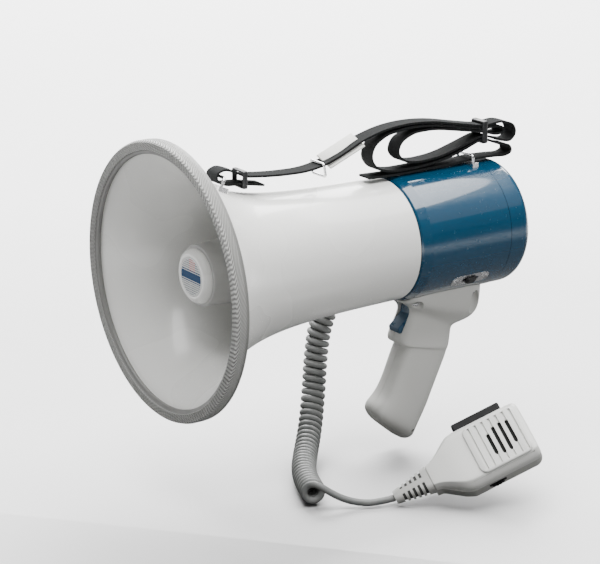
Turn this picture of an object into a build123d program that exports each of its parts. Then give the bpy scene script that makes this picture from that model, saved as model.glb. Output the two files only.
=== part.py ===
from build123d import *
import os
from math import atan2, cos, degrees, exp, radians, sin, tan

# Handheld megaphone with a coiled-cord hand microphone, in millimetres.
# It is laid out from the centre of the horn's mouth: +X runs back along the horn's axis,
# +Z is up and the grip hangs down -Z. Every piece is then moved so that the origin is
# the middle of the grip, where the hand closes round it.

# Driving sizes of the horn
MOUTH_R = 113.0          # outside of the bell at its mouth
BELL_LENGTH = 219.0
FLARE_LENGTH = 42.0      # distance in which the flare falls to 1/e
BELL_WALL = 2.4
TRIM_WIDTH = 11.5        # soft edging round the mouth, seen from the front
TRIM_DEPTH = 12.0
TRIM_OVER = 2.0          # how far the edging stands outside the bell
TRIM_FRONT = 3.5

# Reflector and throat inside the horn
CAP_R = 22.8
CAP_FRONT = 26.5
CAP_DEPTH = 11.5
CUP_FRONT_R = 25.5
CUP_REAR_R = 32.0
CUP_LENGTH = 112.0
CUP_WALL = 2.2
BADGE_R = 16.0
BADGE_THICK = 0.8
THROAT_FRONT_R = 15.0
THROAT_REAR_R = 11.0
THROAT_WALL = 2.0
THROAT_FRONT_GAP = 20.0  # from the cup's front wall to the open end of the throat tube
FLANGE_THICK = 4.0
FIN_COUNT = 3
FIN_THICK = 2.4
FIN_LENGTH = 40.0

# Compression driver
MAGNET_R = 31.0
MAGNET_THICK = 14.0
BASKET_R = 40.0
BASKET_THICK = 5.0
DRIVER_SCREW_PCD_R = 34.5

# Rear housing and its cover
HOUSING_GAP = 1.4        # between the bell's narrow end and the housing
HOUSING_R = 55.0
HOUSING_FRONT_IN = 1.6     # how far the housing draws in at its front
THROAT_STEP = 0.9        # how much narrower the bell's end is than the housing's front
HOUSING_LENGTH = 94.0
HOUSING_WALL = 2.6
COVER_GAP = 0.6
COVER_LENGTH = 22.5
COVER_EDGE = 8.0
COVER_WALL = 2.6
SPIGOT_LENGTH = 12.0
SPIGOT_CLEARANCE = 0.35
SEAL_R = 0.9
SEAL_CLEARANCE = 0.25
SEAL_FROM_COVER = 7.0

# Battery pack and electronics
CELL_R = 12.6
CELL_LENGTH = 45.0
CELL_COUNT = 8
CELL_TO_HOLDER_EDGE = 2.4
DISC_THICK = 2.0
HOLDER_ROOM = 3.4        # between the battery holder and the housing's inside
HOLDER_FROM_COVER = 9.9  # from the holder's rear disc to the cover's seam
CELL_ROOM = 1.5          # between a cell's end and the holder's disc
POST_R = 7.0
BOARD_ROOM = 8.4
BOARD_THICK = 1.6

# Grip. Its places are (x, z) from its own middle, where the hand closes round it.
GRIP_BEHIND = 31.6       # from the housing's front back to the grip's middle
GRIP_BELOW = 69.0        # from the housing's underside down to the grip's middle
GRIP_HALF = 16.5
GRIP_WALL = 2.8
GRIP_ROUND = 7.0
SADDLE_HALF = 30.0
SADDLE_CLEARANCE = 0.3
LANYARD_R = 1.7
LANYARD_AT = (-9.0, -51.5)
LANYARD_BOSS_R = 4.2
SADDLE_SCREWS_X = (-14.0, 46.0)
SADDLE_SCREW_ANGLE = 22.0

# Trigger
TRIGGER_HALF = 7.5
TRIGGER_CLEARANCE = 0.6
TRIGGER_PIN_AT = (-1.5, 61.0)
TRIGGER_PIN_R = 2.0
CLAMP_SCREWS = [(12.0, 31.0), (10.0, -8.0), (-31.0, -29.0)]
CLAMP_R = 1.25
CLAMP_HEAD_R = 2.7
CLAMP_SUNK = 4.0         # from the handle's side down to the screw heads' seats
PIN_CLEARANCE = 0.06
SWITCH_AT = (5.0, 47.0)
SWITCH_SIZE = (8.0, 6.0, 14.0)
SWITCH_CLEARANCE = 0.2

# Slide switch on the housing's side
SWITCH_ANGLE = 39.5      # degrees below the horizontal, on the -Y side
SWITCH_BEHIND = 59.6     # from the housing's front
PLATE_LENGTH = 40.0
PLATE_WIDTH = 12.5
PLATE_THICK = 1.2
PLATE_SINK = 0.9
PLATE_SCREW_SPACING = 31.0
KNOB_LENGTH = 10.0
KNOB_TRAVEL = 4.0
KNOB_STEM = 4.1
SWITCH_BODY_DEEP = 4.5   # from the plate's underside to the middle of the switch
SWITCH_BODY_THICK = 4.2

# Strap and its fittings
STRAP_WIDTH = 15.0
STRAP_THICK = 1.8
RING_WIRE_R = 1.3
RING_HALF = 10.5
FRONT_RING_X = 49.0
TIE_BEHIND = 100.6       # the tie round the bundle, behind the housing's front
TIE_OVER = 26.0          # and over the housing
REAR_RING_BEHIND = 85.6

# Cord
CORD_R = 2.9
COIL_R = 10.8            # outside of the curly part
GLAND_R = 6.5
GLAND_TIP_R = 4.2
GLAND_BASE = (232.0, 44.0, -26.5)
GLAND_TIP = (221.0, 56.4, -44.3)
COIL_ROUTE = [
    (208, 60, -62), (196, 61, -86), (189, 58, -116), (182, 51, -148), (168, 36, -174),
    (148, 14, -185), (128, -12, -186), (114, -38, -186), (104, -62, -184),
]
TAIL_ROUTE = [
    (102.6, -66.2, -174.2), (111, -72, -181), (122, -79, -188.5), (135, -86.5, -192.5),
    (148, -93, -192.6), (161, -98, -190),
]

# Hand microphone, in its own frame: U along it from the cord, V across it, W out of its face
MIC_ORIGIN = (161.0, -98.0, -190.0)
MIC_LONG = (0.812, -0.391, 0.433)
MIC_FACE = (-0.581, -0.473, 0.663)
BOOT_LENGTH = 33.0
NECK_END = 61.0
MIC_END = 125.0
MIC_HALF = 27.0
NECK_HALF = 11.0
FRONT_DEPTH = 13.0
BACK_DEPTH = 17.0
MIC_WALL = 2.2
MIC_ROUND = 4.5
GROOVE_COUNT = 7
GROOVE_PITCH = 6.3
GROOVE_WIDTH = 1.6
SLOT_WIDTH = 2.6
SLOT_HALVES = [(-11, 8), (-13, 12), (-13, 13), (-9, 12)]   # the four slots, across the face
KEY_RAISED = 1.5
KEY_LENGTH = 44.0
KEY_DEPTH = 11.0
KEY_WIDTH = 10.0
KEY_PIVOT = (109.0, 23.6)
KEY_PIN_R = 1.4
MIC_SCREWS = [(50.0, 0.0), (74.0, 15.0), (117.0, -19.0), (117.0, 17.0)]
HANG_AT = 92.0
HANG_R = 2.9
WHEEL_R = 12.0
WHEEL_THICK = 5.0
WHEEL_AT = (82.0, -5.5)   # along the microphone, and below its parting line
WHEEL_PROUD = 1.8

MIN = (Align.CENTER, Align.CENTER, Align.MIN)
HOUSING_FRONT_R = HOUSING_R - HOUSING_FRONT_IN
THROAT_R = HOUSING_FRONT_R - THROAT_STEP     # outside of the bell at its narrow end
HOUSING_X = BELL_LENGTH + HOUSING_GAP
GRIP_CENTRE = (HOUSING_X + GRIP_BEHIND, 0.0, -HOUSING_R - GRIP_BELOW)
SWITCH_X = HOUSING_X + SWITCH_BEHIND
REAR_RING_X = HOUSING_X + REAR_RING_BEHIND
HOUSING_END = HOUSING_X + HOUSING_LENGTH
HOUSING_IN_R = HOUSING_R - HOUSING_WALL
HOLDER_R = HOUSING_IN_R - HOLDER_ROOM
CELL_RING_R = HOLDER_R - CELL_R - CELL_TO_HOLDER_EDGE
BOARD_R = HOUSING_IN_R - BOARD_ROOM
COVER_X = HOUSING_END + COVER_GAP
CUP_X = CAP_FRONT + CAP_DEPTH
THROAT_X = CUP_X + CUP_WALL + THROAT_FRONT_GAP
FLANGE_X = BELL_LENGTH - FLANGE_THICK
BASKET_X = BELL_LENGTH
MAGNET_X = BASKET_X + BASKET_THICK
BOARD_X = MAGNET_X + MAGNET_THICK + 4.0
HOLDER_REAR_X = COVER_X - HOLDER_FROM_COVER
CELL_X = HOLDER_REAR_X - CELL_ROOM - CELL_LENGTH
HOLDER_X = CELL_X - CELL_ROOM - DISC_THICK
BULKHEAD_X = HOLDER_X - 0.5 - DISC_THICK
MIC_FRAME = Plane(origin=MIC_ORIGIN, x_dir=MIC_LONG, z_dir=MIC_FACE)
SWITCH_OUT = (0.0, -cos(radians(SWITCH_ANGLE)), -sin(radians(SWITCH_ANGLE)))


def write(name, part):
    """Move a piece to the grip's origin and write it as its own node."""
    if isinstance(part, list):
        part = Compound(children=part)
    to_grip = Pos(-GRIP_CENTRE[0], -GRIP_CENTRE[1], -GRIP_CENTRE[2])
    export_step(to_grip * part, f"parts/{name}.step")


def bell_radius(x):
    """Outside radius of the horn at a distance from its mouth."""
    return THROAT_R + (MOUTH_R - THROAT_R) * exp(-x / FLARE_LENGTH)


def turned(*points):
    """A solid turned about the horn's axis from an outline of (x, radius) points."""
    outline = Polyline(*[(x, 0, r) for x, r in points], close=True)
    return revolve(make_face(outline), Axis.X)


def bar(x, length, radius, y=0.0, z=0.0):
    """A round bar along X."""
    return Pos(x, y, z) * Rot(0, 90, 0) * Cylinder(radius, length, align=MIN)


def rod(start, end, radius, end_radius=None):
    """A round rod, or a cone, between two points."""
    line = Vector(*end) - Vector(*start)
    frame = Plane(origin=start, z_dir=line)
    if end_radius is None:
        return frame.location * Cylinder(radius, line.length, align=MIN)
    return frame.location * Cone(radius, end_radius, line.length, align=MIN)


def in_grip(x, z):
    """A place in the grip's mid-plane, from the grip's own middle."""
    return Pos(GRIP_CENTRE[0] + x, 0, GRIP_CENTRE[2] + z)


def cross_pin(x, z, half, radius):
    """A round pin along Y, centred on the grip's mid-plane."""
    return in_grip(x, z) * Rot(90, 0, 0) * Cylinder(radius, 2 * half)


def ring_places(count, radius, start=0.0):
    """Places evenly round the horn's axis, as (y, z)."""
    angles = [radians(start + 360.0 * i / count) for i in range(count)]
    return [(radius * cos(a), radius * sin(a)) for a in angles]


def route_radii(points):
    """The largest arc that each corner's two runs allow."""
    radii = []
    for before, at, after in zip(points, points[1:], points[2:]):
        first = Vector(*at) - Vector(*before)
        second = Vector(*after) - Vector(*at)
        half_turn = radians(first.get_angle(second)) / 2
        radii.append(0.45 * min(first.length, second.length) / tan(half_turn))
    return radii


def route_tube(points, radius):
    """A tube of straight runs joined by tangent arcs."""
    path = FilletPolyline(*points, radius=route_radii(points))
    section = Plane(origin=path @ 0, z_dir=path % 0) * Circle(radius)
    return sweep(section, path=path)


# ---------------------------------------------------------------- horn

def horn_bell():
    steps = [BELL_LENGTH * (i / 12) ** 1.5 for i in range(13)]
    outside = Spline(*[(x, 0, bell_radius(x)) for x in steps])
    inside = Spline(*[(x, 0, bell_radius(x) - BELL_WALL) for x in steps])
    ends = Line(outside @ 0, inside @ 0) + Line(outside @ 1, inside @ 1)
    return revolve(make_face(outside + inside + ends), Axis.X)


def rim_trim(bell):
    outer = MOUTH_R + TRIM_OVER
    ring = bar(-TRIM_FRONT, TRIM_DEPTH, outer) - bar(-TRIM_FRONT, TRIM_DEPTH, outer - TRIM_WIDTH)
    ring = fillet(ring.edges().filter_by(GeomType.CIRCLE), 2.4)
    return (ring - bell).solids().sort_by(SortBy.VOLUME)[-1]


def reflector_cap():
    cap = bar(CAP_FRONT, CAP_DEPTH, CAP_R)
    front = cap.edges().filter_by(GeomType.CIRCLE).sort_by(Axis.X)[0]
    cap = fillet(front, 6.0)
    seat = bar(CAP_FRONT - 0.1, BADGE_THICK + 0.1, BADGE_R + 0.1)
    spigot_hole = bar(CAP_FRONT + 5.0, CAP_DEPTH, CAP_R - 6.0)
    return cap - seat - spigot_hole


def badge():
    return bar(CAP_FRONT, BADGE_THICK, BADGE_R)


def cup_radius(x):
    share = (x - CUP_X) / CUP_LENGTH
    return CUP_FRONT_R + (CUP_REAR_R - CUP_FRONT_R) * share


def reflector_cup():
    end = CUP_X + CUP_LENGTH
    shell = turned(
        (CUP_X, 0), (CUP_X, CUP_FRONT_R - 2), (CUP_X + 2, CUP_FRONT_R), (end, CUP_REAR_R),
        (end, CUP_REAR_R - CUP_WALL), (CUP_X + CUP_WALL, CUP_FRONT_R - CUP_WALL),
        (CUP_X + CUP_WALL, 0),
    )
    spigot = bar(CUP_X - 5.5, 5.5, CAP_R - 6.2)
    return shell + spigot


def throat_radius(x):
    share = (x - THROAT_X) / (FLANGE_X - THROAT_X)
    return THROAT_FRONT_R + (THROAT_REAR_R - THROAT_FRONT_R) * share


def throat_tube():
    """The inner horn, its mounting flange and the fins that carry the reflector."""
    outside = [(THROAT_X, THROAT_FRONT_R), (FLANGE_X, THROAT_REAR_R)]
    flange_r = bell_radius(FLANGE_X + FLANGE_THICK) - BELL_WALL - 0.1
    tube = turned(
        *outside, (FLANGE_X, flange_r), (FLANGE_X + FLANGE_THICK, flange_r),
        (FLANGE_X + FLANGE_THICK, THROAT_REAR_R - THROAT_WALL),
        (THROAT_X, THROAT_FRONT_R - THROAT_WALL),
    )
    fin_x = CUP_X + CUP_LENGTH - FIN_LENGTH - 6.0
    reach = CUP_WALL + 0.1
    inner = turned(
        (fin_x, 0), (fin_x, cup_radius(fin_x) - reach),
        (fin_x + FIN_LENGTH, cup_radius(fin_x + FIN_LENGTH) - reach), (fin_x + FIN_LENGTH, 0),
    )
    core = turned(
        (fin_x, 0), (fin_x, throat_radius(fin_x) - 1),
        (fin_x + FIN_LENGTH, throat_radius(fin_x + FIN_LENGTH) - 1), (fin_x + FIN_LENGTH, 0),
    )
    blade = Pos(fin_x + FIN_LENGTH / 2, 0, CUP_REAR_R / 2) * Box(FIN_LENGTH, FIN_THICK, CUP_REAR_R)
    for i in range(FIN_COUNT):
        fin = Rot(360.0 * i / FIN_COUNT, 0, 0) * blade
        tube += (fin & inner) - core
    return tube


def driver_basket():
    ring = bar(BASKET_X, BASKET_THICK, BASKET_R) - bar(BASKET_X, BASKET_THICK, 20.0)
    for y, z in ring_places(4, DRIVER_SCREW_PCD_R, 45):
        ring -= bar(BASKET_X - 1, BASKET_THICK + 2, 1.7, y, z)
    return ring


def driver_diaphragm():
    dome = Pos(BASKET_X + 18.5, 0, 0) * Sphere(18.0) & bar(BASKET_X, 9.0, 19.0)
    hollow = Pos(BASKET_X + 19.1, 0, 0) * Sphere(18.0)
    return dome - hollow


def driver_magnet():
    magnet = bar(MAGNET_X, MAGNET_THICK, MAGNET_R) - bar(MAGNET_X - 1, 5.0, 19.0)
    return chamfer(magnet.edges().filter_by(GeomType.CIRCLE).sort_by(Axis.X)[-1], 1.5)


def driver_screws():
    screws = []
    for y, z in ring_places(4, DRIVER_SCREW_PCD_R, 45):
        head = bar(BASKET_X + BASKET_THICK, 1.8, 2.8, y, z)
        screws.append(head + bar(BASKET_X, BASKET_THICK, 1.6, y, z))
    return screws


# ---------------------------------------------------------------- rear housing

def switch_frame(depth):
    """A frame on the housing's side, facing out, at a depth below its surface."""
    reach = HOUSING_R - depth
    origin = (SWITCH_X, SWITCH_OUT[1] * reach, SWITCH_OUT[2] * reach)
    return Plane(origin=origin, x_dir=(1, 0, 0), z_dir=SWITCH_OUT)


def saddle_screw_places():
    """The grip's four fixing screws, as (x, angle from straight down)."""
    return [(GRIP_CENTRE[0] + x, side * SADDLE_SCREW_ANGLE) for x in SADDLE_SCREWS_X for side in (-1, 1)]


def screw_axis(x, angle, radius):
    """A point at a radius below the horn's axis, turned to one side by an angle."""
    a = radians(angle)
    return (x, radius * sin(a), -radius * cos(a))


def rear_housing():
    taper = 10.0
    shell = turned(
        (HOUSING_X, HOUSING_FRONT_R - 1.2), (HOUSING_X + 1.2, HOUSING_FRONT_R),
        (HOUSING_X + taper, HOUSING_R), (HOUSING_END, HOUSING_R),
        (HOUSING_END, HOUSING_IN_R), (HOUSING_X + taper, HOUSING_IN_R),
        (HOUSING_X, HOUSING_FRONT_R - HOUSING_WALL),
    )
    slot = switch_frame(3.0).location * Box(KNOB_LENGTH + 2 * KNOB_TRAVEL + 1, 6.5, 12)
    seat = switch_frame(PLATE_SINK).location * extrude(
        SlotOverall(PLATE_LENGTH + 0.5, PLATE_WIDTH + 0.5), 6.0)
    shell = shell - slot - seat
    for side in (-1, 1):
        hole = Pos(side * PLATE_SCREW_SPACING / 2, 0, -4)
        shell -= switch_frame(0).location * hole * Cylinder(1.3, 12)
    for x, angle in saddle_screw_places():
        shell -= rod(screw_axis(x, angle, 46), screw_axis(x, angle, 60), 1.6)
    gland_hole = rod(GLAND_BASE, GLAND_TIP, GLAND_R + 0.1)
    return shell - gland_hole


def bulkhead():
    plate = bar(BULKHEAD_X, DISC_THICK, HOUSING_IN_R - 0.1)
    return plate - bar(BULKHEAD_X - 1, 4, 4.0, 0, 30.0)


def amplifier_board():
    board = bar(BOARD_X, BOARD_THICK, BOARD_R)
    notch = Pos(BOARD_X, 0, -BOARD_R) * Box(8, 30, 16)
    return board - notch


def board_components():
    x = BOARD_X + BOARD_THICK
    tall = [bar(x, 8.0, 5.0, y, z) for y, z in ((20, 20), (8, 26), (-20, 18))]
    chips = [Pos(x + 1.2, y, z) * Box(2.4, 14, 9) for y, z in ((0, 2), (18, -4), (-16, -6))]
    coil = bar(x, 6.0, 7.0, 26, 4) - bar(x, 6.0, 3.5, 26, 4)
    return tall + chips[:1] + chips[2:] + [coil]


def heat_sink():
    base = Pos(BOARD_X + BOARD_THICK + 1.0, 0, 36) * Box(2, 26, 5)
    sink = base
    for i in range(5):
        y = -11 + 5.5 * i
        sink += Pos(BOARD_X + BOARD_THICK + 4.5, y, 36) * Box(6, 1.4, 5)
    return sink


def battery_holder():
    front = bar(HOLDER_X, DISC_THICK, HOLDER_R)
    rear = bar(HOLDER_REAR_X, DISC_THICK, HOLDER_R)
    post = bar(HOLDER_X, HOLDER_REAR_X + DISC_THICK - HOLDER_X, POST_R)
    holder = front + rear + post
    for y, z in ring_places(CELL_COUNT, CELL_RING_R):
        holder -= bar(HOLDER_X - 1, 4, 3.0, y, z)
    return holder


def battery_cells():
    cells = []
    for index, (y, z) in enumerate(ring_places(CELL_COUNT, CELL_RING_R)):
        body = bar(CELL_X, CELL_LENGTH - 1.6, CELL_R, y, z)
        cells.append(body + bar(CELL_X + CELL_LENGTH - 1.6, 1.6, 3.2, y, z))
    return cells


def cell_springs():
    springs = []
    for y, z in ring_places(CELL_COUNT, CELL_RING_R):
        springs.append(bar(HOLDER_X + DISC_THICK, CELL_ROOM, 4.5, y, z))
    return springs


def rear_cover():
    end = COVER_X + COVER_LENGTH
    cup = bar(COVER_X, COVER_LENGTH, HOUSING_R - 0.2)
    cup = fillet(cup.edges().filter_by(GeomType.CIRCLE).sort_by(Axis.X)[-1], COVER_EDGE)
    spigot_r = HOUSING_IN_R - SPIGOT_CLEARANCE
    cup += bar(COVER_X - SPIGOT_LENGTH, SPIGOT_LENGTH, spigot_r)
    hollow = bar(COVER_X - SPIGOT_LENGTH, SPIGOT_LENGTH + 6, HOLDER_R + 0.6)
    hollow += bar(COVER_X, COVER_LENGTH - COVER_WALL, HOLDER_R - COVER_EDGE / 2)
    floor_r = HOUSING_IN_R - SEAL_CLEARANCE - 2 * SEAL_R
    groove_x = COVER_X - SEAL_FROM_COVER
    groove = bar(groove_x, 2 * SEAL_R, spigot_r + 1) - bar(groove_x, 2 * SEAL_R, floor_r)
    pull = Pos(end, 0, 0) * Box(2.4, 46, 15)
    return cup - hollow - groove - pull


def cover_seal():
    x = COVER_X - SEAL_FROM_COVER + SEAL_R
    centre = HOUSING_IN_R - SEAL_CLEARANCE - SEAL_R
    circle = Plane(origin=(x, 0, centre), z_dir=(0, 1, 0)) * Circle(SEAL_R)
    return revolve(circle, Axis.X)


# ---------------------------------------------------------------- slide switch

def switch_plate():
    plate = extrude(SlotOverall(PLATE_LENGTH, PLATE_WIDTH), PLATE_THICK)
    window = Box(KNOB_LENGTH + 2 * KNOB_TRAVEL - 1, 4.4, 6)
    plate = plate - window
    for side in (-1, 1):
        plate -= Pos(side * PLATE_SCREW_SPACING / 2, 0, 0) * Cylinder(1.5, 6)
    return switch_frame(PLATE_SINK).location * plate


def switch_plate_screws():
    screws = []
    for side in (-1, 1):
        at = Pos(side * PLATE_SCREW_SPACING / 2, 0, 0)
        head = Pos(0, 0, PLATE_THICK) * Sphere(2.9) & Pos(0, 0, PLATE_THICK) * Cylinder(2.9, 1.4, align=MIN)
        slot = Pos(0, 0, PLATE_THICK + 1.2) * Box(4.6, 0.7, 1.2)
        cross = Pos(0, 0, PLATE_THICK + 1.2) * Box(0.7, 4.6, 1.2)
        shank = Pos(0, 0, -5) * Cylinder(1.25, 5 + PLATE_THICK, align=MIN)
        screws.append(switch_frame(PLATE_SINK).location * at * (head + shank - slot - cross))
    return screws


def slide_knob():
    stem = Pos(0, 0, 2 - KNOB_STEM / 2) * Box(KNOB_LENGTH - 2, 3.6, KNOB_STEM)
    foot = loft([Rectangle(KNOB_LENGTH, 6.4), Pos(0, 0, 2.6) * Rectangle(KNOB_LENGTH - 3, 4.6)])
    knob = Pos(0, 0, PLATE_THICK + 0.35) * foot + stem
    return switch_frame(PLATE_SINK).location * knob


def switch_body():
    frame = switch_frame(PLATE_SINK)
    body = Pos(0, 0, -SWITCH_BODY_DEEP) * Box(26, 9, SWITCH_BODY_THICK)
    return frame.location * body


# ---------------------------------------------------------------- grip

# Side outline of the handle, as (x, z), down its front and up its back
HANDLE_OUTLINE = [
    (-4, 68), (-14, 29), (-31.5, -14), (-45.5, -26), (-34, -47), (-5, -61), (11, -26), (31, 11),
    (35, 38), (35, 68),
]
HANDLE_CORNER = 8.0
GUARD_OUTLINE = [
    (-23, 35.2), (-21, 30.5), (-13, 26), (1, 26), (1, 35.2),
]
GUARD_HALF = 12.0
GUARD_EDGES = 9          # edges of the step in front of the handle
SADDLE_TOP = (-30.5, 60.5, 80.0)        # front, rear and height of the saddle's widest section
SADDLE_LOW = (-14.0, 54.0, 43.0)        # the same where it ends on the handle
TRIGGER_ROOM = [(-26, 66), (3, 67), (7, 58), (3, 35.5), (-26, 35.5)]
TRIGGER_OUTLINE = [
    (-7, 63.5), (-9, 53.5), (-21.5, 42.5), (-20.5, 38.1), (-14, 38.3), (-2, 53.5), (-1, 64),
]


def side_face(points):
    """A flat face in the grip's mid-plane, from (x, z) points about the grip's middle."""
    outline = make_face(Polyline(*[(x, 0, z) for x, z in points], close=True))
    return in_grip(0, 0) * outline


def saddle():
    """The wide part of the grip that wraps under the housing."""
    front, rear, z = SADDLE_TOP
    top = in_grip((front + rear) / 2, z) * RectangleRounded(rear - front, 2 * SADDLE_HALF, 9.0)
    front, rear, z = SADDLE_LOW
    low = in_grip((front + rear) / 2, z) * RectangleRounded(rear - front, 2 * GRIP_HALF, 9.0)
    body = loft([top, low])
    return fillet(body.edges().group_by(Axis.Z)[0], 4.0)


def handle(inset):
    """The handle's outside, or its hollow when it is drawn in by a wall."""
    outline = side_face(HANDLE_OUTLINE)
    if inset:
        return extrude(offset(outline, -inset), GRIP_HALF - inset, both=True)
    below_housing = -HOUSING_R - 3.0
    corners = outline.vertices().filter_by(lambda v: v.Z < below_housing - 2)
    outline = fillet(corners, HANDLE_CORNER)
    body = extrude(outline, GRIP_HALF, both=True)
    sides = body.edges().filter_by(lambda e: abs(abs(e.center().Y) - GRIP_HALF) < 0.01)
    return fillet(sides.filter_by(lambda e: e.center().Z < below_housing + 1), GRIP_ROUND)


def trigger_guard():
    """The step below the trigger that the finger stops against."""
    step = extrude(side_face(GUARD_OUTLINE), GUARD_HALF, both=True)
    front = step.edges().sort_by(Axis.X)[:GUARD_EDGES]
    low = [e for e in front if e.center().Z < GRIP_CENTRE[2] + GUARD_OUTLINE[0][1] - 0.5]
    return fillet(low, 2.0)


def screw_pockets():
    """Round pockets in the saddle's flanks for the screws that hold the grip to the housing."""
    pockets = None
    for x, angle in saddle_screw_places():
        pocket = rod(screw_axis(x, angle, HOUSING_R + 4.5), screw_axis(x, angle, 110), 5.2)
        hole = rod(screw_axis(x, angle, 50), screw_axis(x, angle, 110), 1.8)
        pockets = pocket + hole if pockets is None else pockets + pocket + hole
    return pockets


def trigger_slot():
    """The slot in the grip's front that the trigger moves in."""
    half = TRIGGER_HALF + TRIGGER_CLEARANCE
    return extrude(side_face(TRIGGER_ROOM), half, both=True)


def grip_shell():
    """Both halves of the grip together, before they are split."""
    room_under_housing = bar(HOUSING_X - 20, HOUSING_LENGTH + 46, HOUSING_R + SADDLE_CLEARANCE)
    body = handle(0) + saddle() + trigger_guard()
    hollow = handle(GRIP_WALL) & in_grip(8, -6) * Box(200, 100, 112)
    body = body - room_under_housing - hollow - trigger_slot() - screw_pockets()
    body -= in_grip(*SWITCH_AT) * Box(*[side + 2 * SWITCH_CLEARANCE for side in SWITCH_SIZE])
    pin_boss = cross_pin(*TRIGGER_PIN_AT, GRIP_HALF - 0.5, 4.6) - trigger_slot()
    body += pin_boss
    body -= cross_pin(*TRIGGER_PIN_AT, GRIP_HALF - 2.5, TRIGGER_PIN_R)
    lanyard_boss = cross_pin(*LANYARD_AT, GRIP_HALF - 1.5, LANYARD_BOSS_R) & handle(0)
    body += lanyard_boss
    body -= cross_pin(*LANYARD_AT, GRIP_HALF + 2, LANYARD_R)
    for x, z in CLAMP_SCREWS:
        body += cross_pin(x, z, GRIP_HALF - 1.5, 3.6)
        to_far_side = in_grip(x, z) * Rot(-90, 0, 0)
        body -= to_far_side * Cylinder(CLAMP_R + 0.05, GRIP_HALF - CLAMP_SUNK, align=MIN)
        body -= to_far_side * Rot(180, 0, 0) * Cylinder(CLAMP_R + 0.05, 9, align=MIN)
        body -= to_far_side * Pos(0, 0, GRIP_HALF - CLAMP_SUNK) * Cylinder(CLAMP_HEAD_R + 0.2, 10, align=MIN)
    return body


def grip_halves():
    shell = grip_shell()
    near = in_grip(0, 0) * Pos(0, -50, 0) * Box(200, 100, 240)
    far = in_grip(0, 0) * Pos(0, 50, 0) * Box(200, 100, 240)
    return shell & near, shell & far


def clamp_screws():
    screws = []
    for x, z in CLAMP_SCREWS:
        to_far_side = in_grip(x, z) * Rot(-90, 0, 0)
        shank = to_far_side * Pos(0, 0, -8) * Cylinder(CLAMP_R, GRIP_HALF - CLAMP_SUNK + 8, align=MIN)
        head = to_far_side * Pos(0, 0, GRIP_HALF - CLAMP_SUNK) * Cylinder(CLAMP_HEAD_R, 1.8, align=MIN)
        screws.append(shank + head)
    return screws


def saddle_screws():
    screws = []
    for x, angle in saddle_screw_places():
        seat = HOUSING_R + 4.5
        shank = rod(screw_axis(x, angle, HOUSING_IN_R - 1), screw_axis(x, angle, seat), 1.5)
        head = rod(screw_axis(x, angle, seat), screw_axis(x, angle, seat + 2.2), 3.2)
        screws.append(shank + head)
    return screws


def trigger():
    """The trigger: a curved front, a web behind it and an eye round the pin."""
    face = side_face(TRIGGER_OUTLINE)
    rounded = face.vertices().sort_by(Axis.X)[:4]
    face = fillet(rounded, 1.8)
    lever = extrude(face, TRIGGER_HALF, both=True)
    edges = lever.edges().filter_by(lambda e: abs(abs(e.center().Y) - TRIGGER_HALF) < 0.01)
    lever = fillet(edges.filter_by(lambda e: e.center().X < GRIP_CENTRE[0] - 11), 1.5)
    eye = cross_pin(*TRIGGER_PIN_AT, TRIGGER_HALF, 4.0)
    return lever + eye - cross_pin(*TRIGGER_PIN_AT, GRIP_HALF, TRIGGER_PIN_R + PIN_CLEARANCE)


def trigger_pin():
    return cross_pin(*TRIGGER_PIN_AT, GRIP_HALF - 2.6, TRIGGER_PIN_R)


def trigger_switch():
    return in_grip(*SWITCH_AT) * Box(*SWITCH_SIZE)


# ---------------------------------------------------------------- shoulder strap

# The folded strap's line in the mid-plane, as (x, z), from its free end at the front ring
STRAP_FRONT = [
    (93, 68), (80, 70.5), (68, 72.5), (57, 73), (48, 77), (47.5, 83.5), (55, 86.5), (65, 83),
    (75, 77.5), (104, 74), (133, 73), (152, 75.5), (172, 82.5), (190, 91),
]
# The rest of it, as (x behind the housing's front, height over the housing)
STRAP_BUNDLE = [
    (-6.4, 42.5), (19.6, 44.5), (45.6, 42.5), (71.6, 37), (99.6, 31.5), (119.6, 33.5), (132.6, 29),
    (135.6, 21), (129.6, 14.5), (116.6, 17), (99.6, 24), (77.6, 17.5), (53.6, 11), (29.6, 9.5),
    (14.6, 12), (6.6, 20), (10.6, 30), (23.6, 36), (45.6, 36.5), (71.6, 31.8), (99.6, 26.5),
    (112.6, 22.5), (121.6, 23), (120.6, 28.5), (110.6, 30), (99.6, 29), (71.6, 34.4), (45.6, 39.5),
    (19.6, 41.2), (-4.4, 38), (-17.4, 30.5), (-20.9, 19), (-13.4, 9), (3.6, 5), (29.6, 5.2),
    (53.6, 7.2), (77.6, 13.3), (99.6, 21.4), (116.6, 13.5), (128.6, 11), (131.6, 5), (124.6, 2.3),
    (109.6, 3.5), (88.6, 4.2), (63.6, 2.4), (35.6, 2.3), (5.6, 1.9), (-22.4, 2.9),
]


def strap_slab(line, thickness, half_width):
    """A band of webbing that follows a line in the mid-plane."""
    section = Plane(origin=line @ 0, x_dir=(0, 1, 0), z_dir=line % 0)
    return sweep(section * Rectangle(2 * half_width, thickness), path=line)


def shoulder_strap():
    points = [(x, 0, z) for x, z in STRAP_FRONT]
    points += [(HOUSING_X + x, 0, HOUSING_R + z) for x, z in STRAP_BUNDLE]
    line = FilletPolyline(*points, radius=route_radii(points))
    return strap_slab(line, STRAP_THICK, STRAP_WIDTH / 2)


def strap_band(x, z, length, height, wall):
    """A flat band round the strap, at a place on its line."""
    outside = Box(length, STRAP_WIDTH + 2 * wall + 0.6, height + 2 * wall)
    inside = Box(length + 2, STRAP_WIDTH + 0.6, height)
    return Pos(x, 0, z) * (outside - inside)


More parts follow.
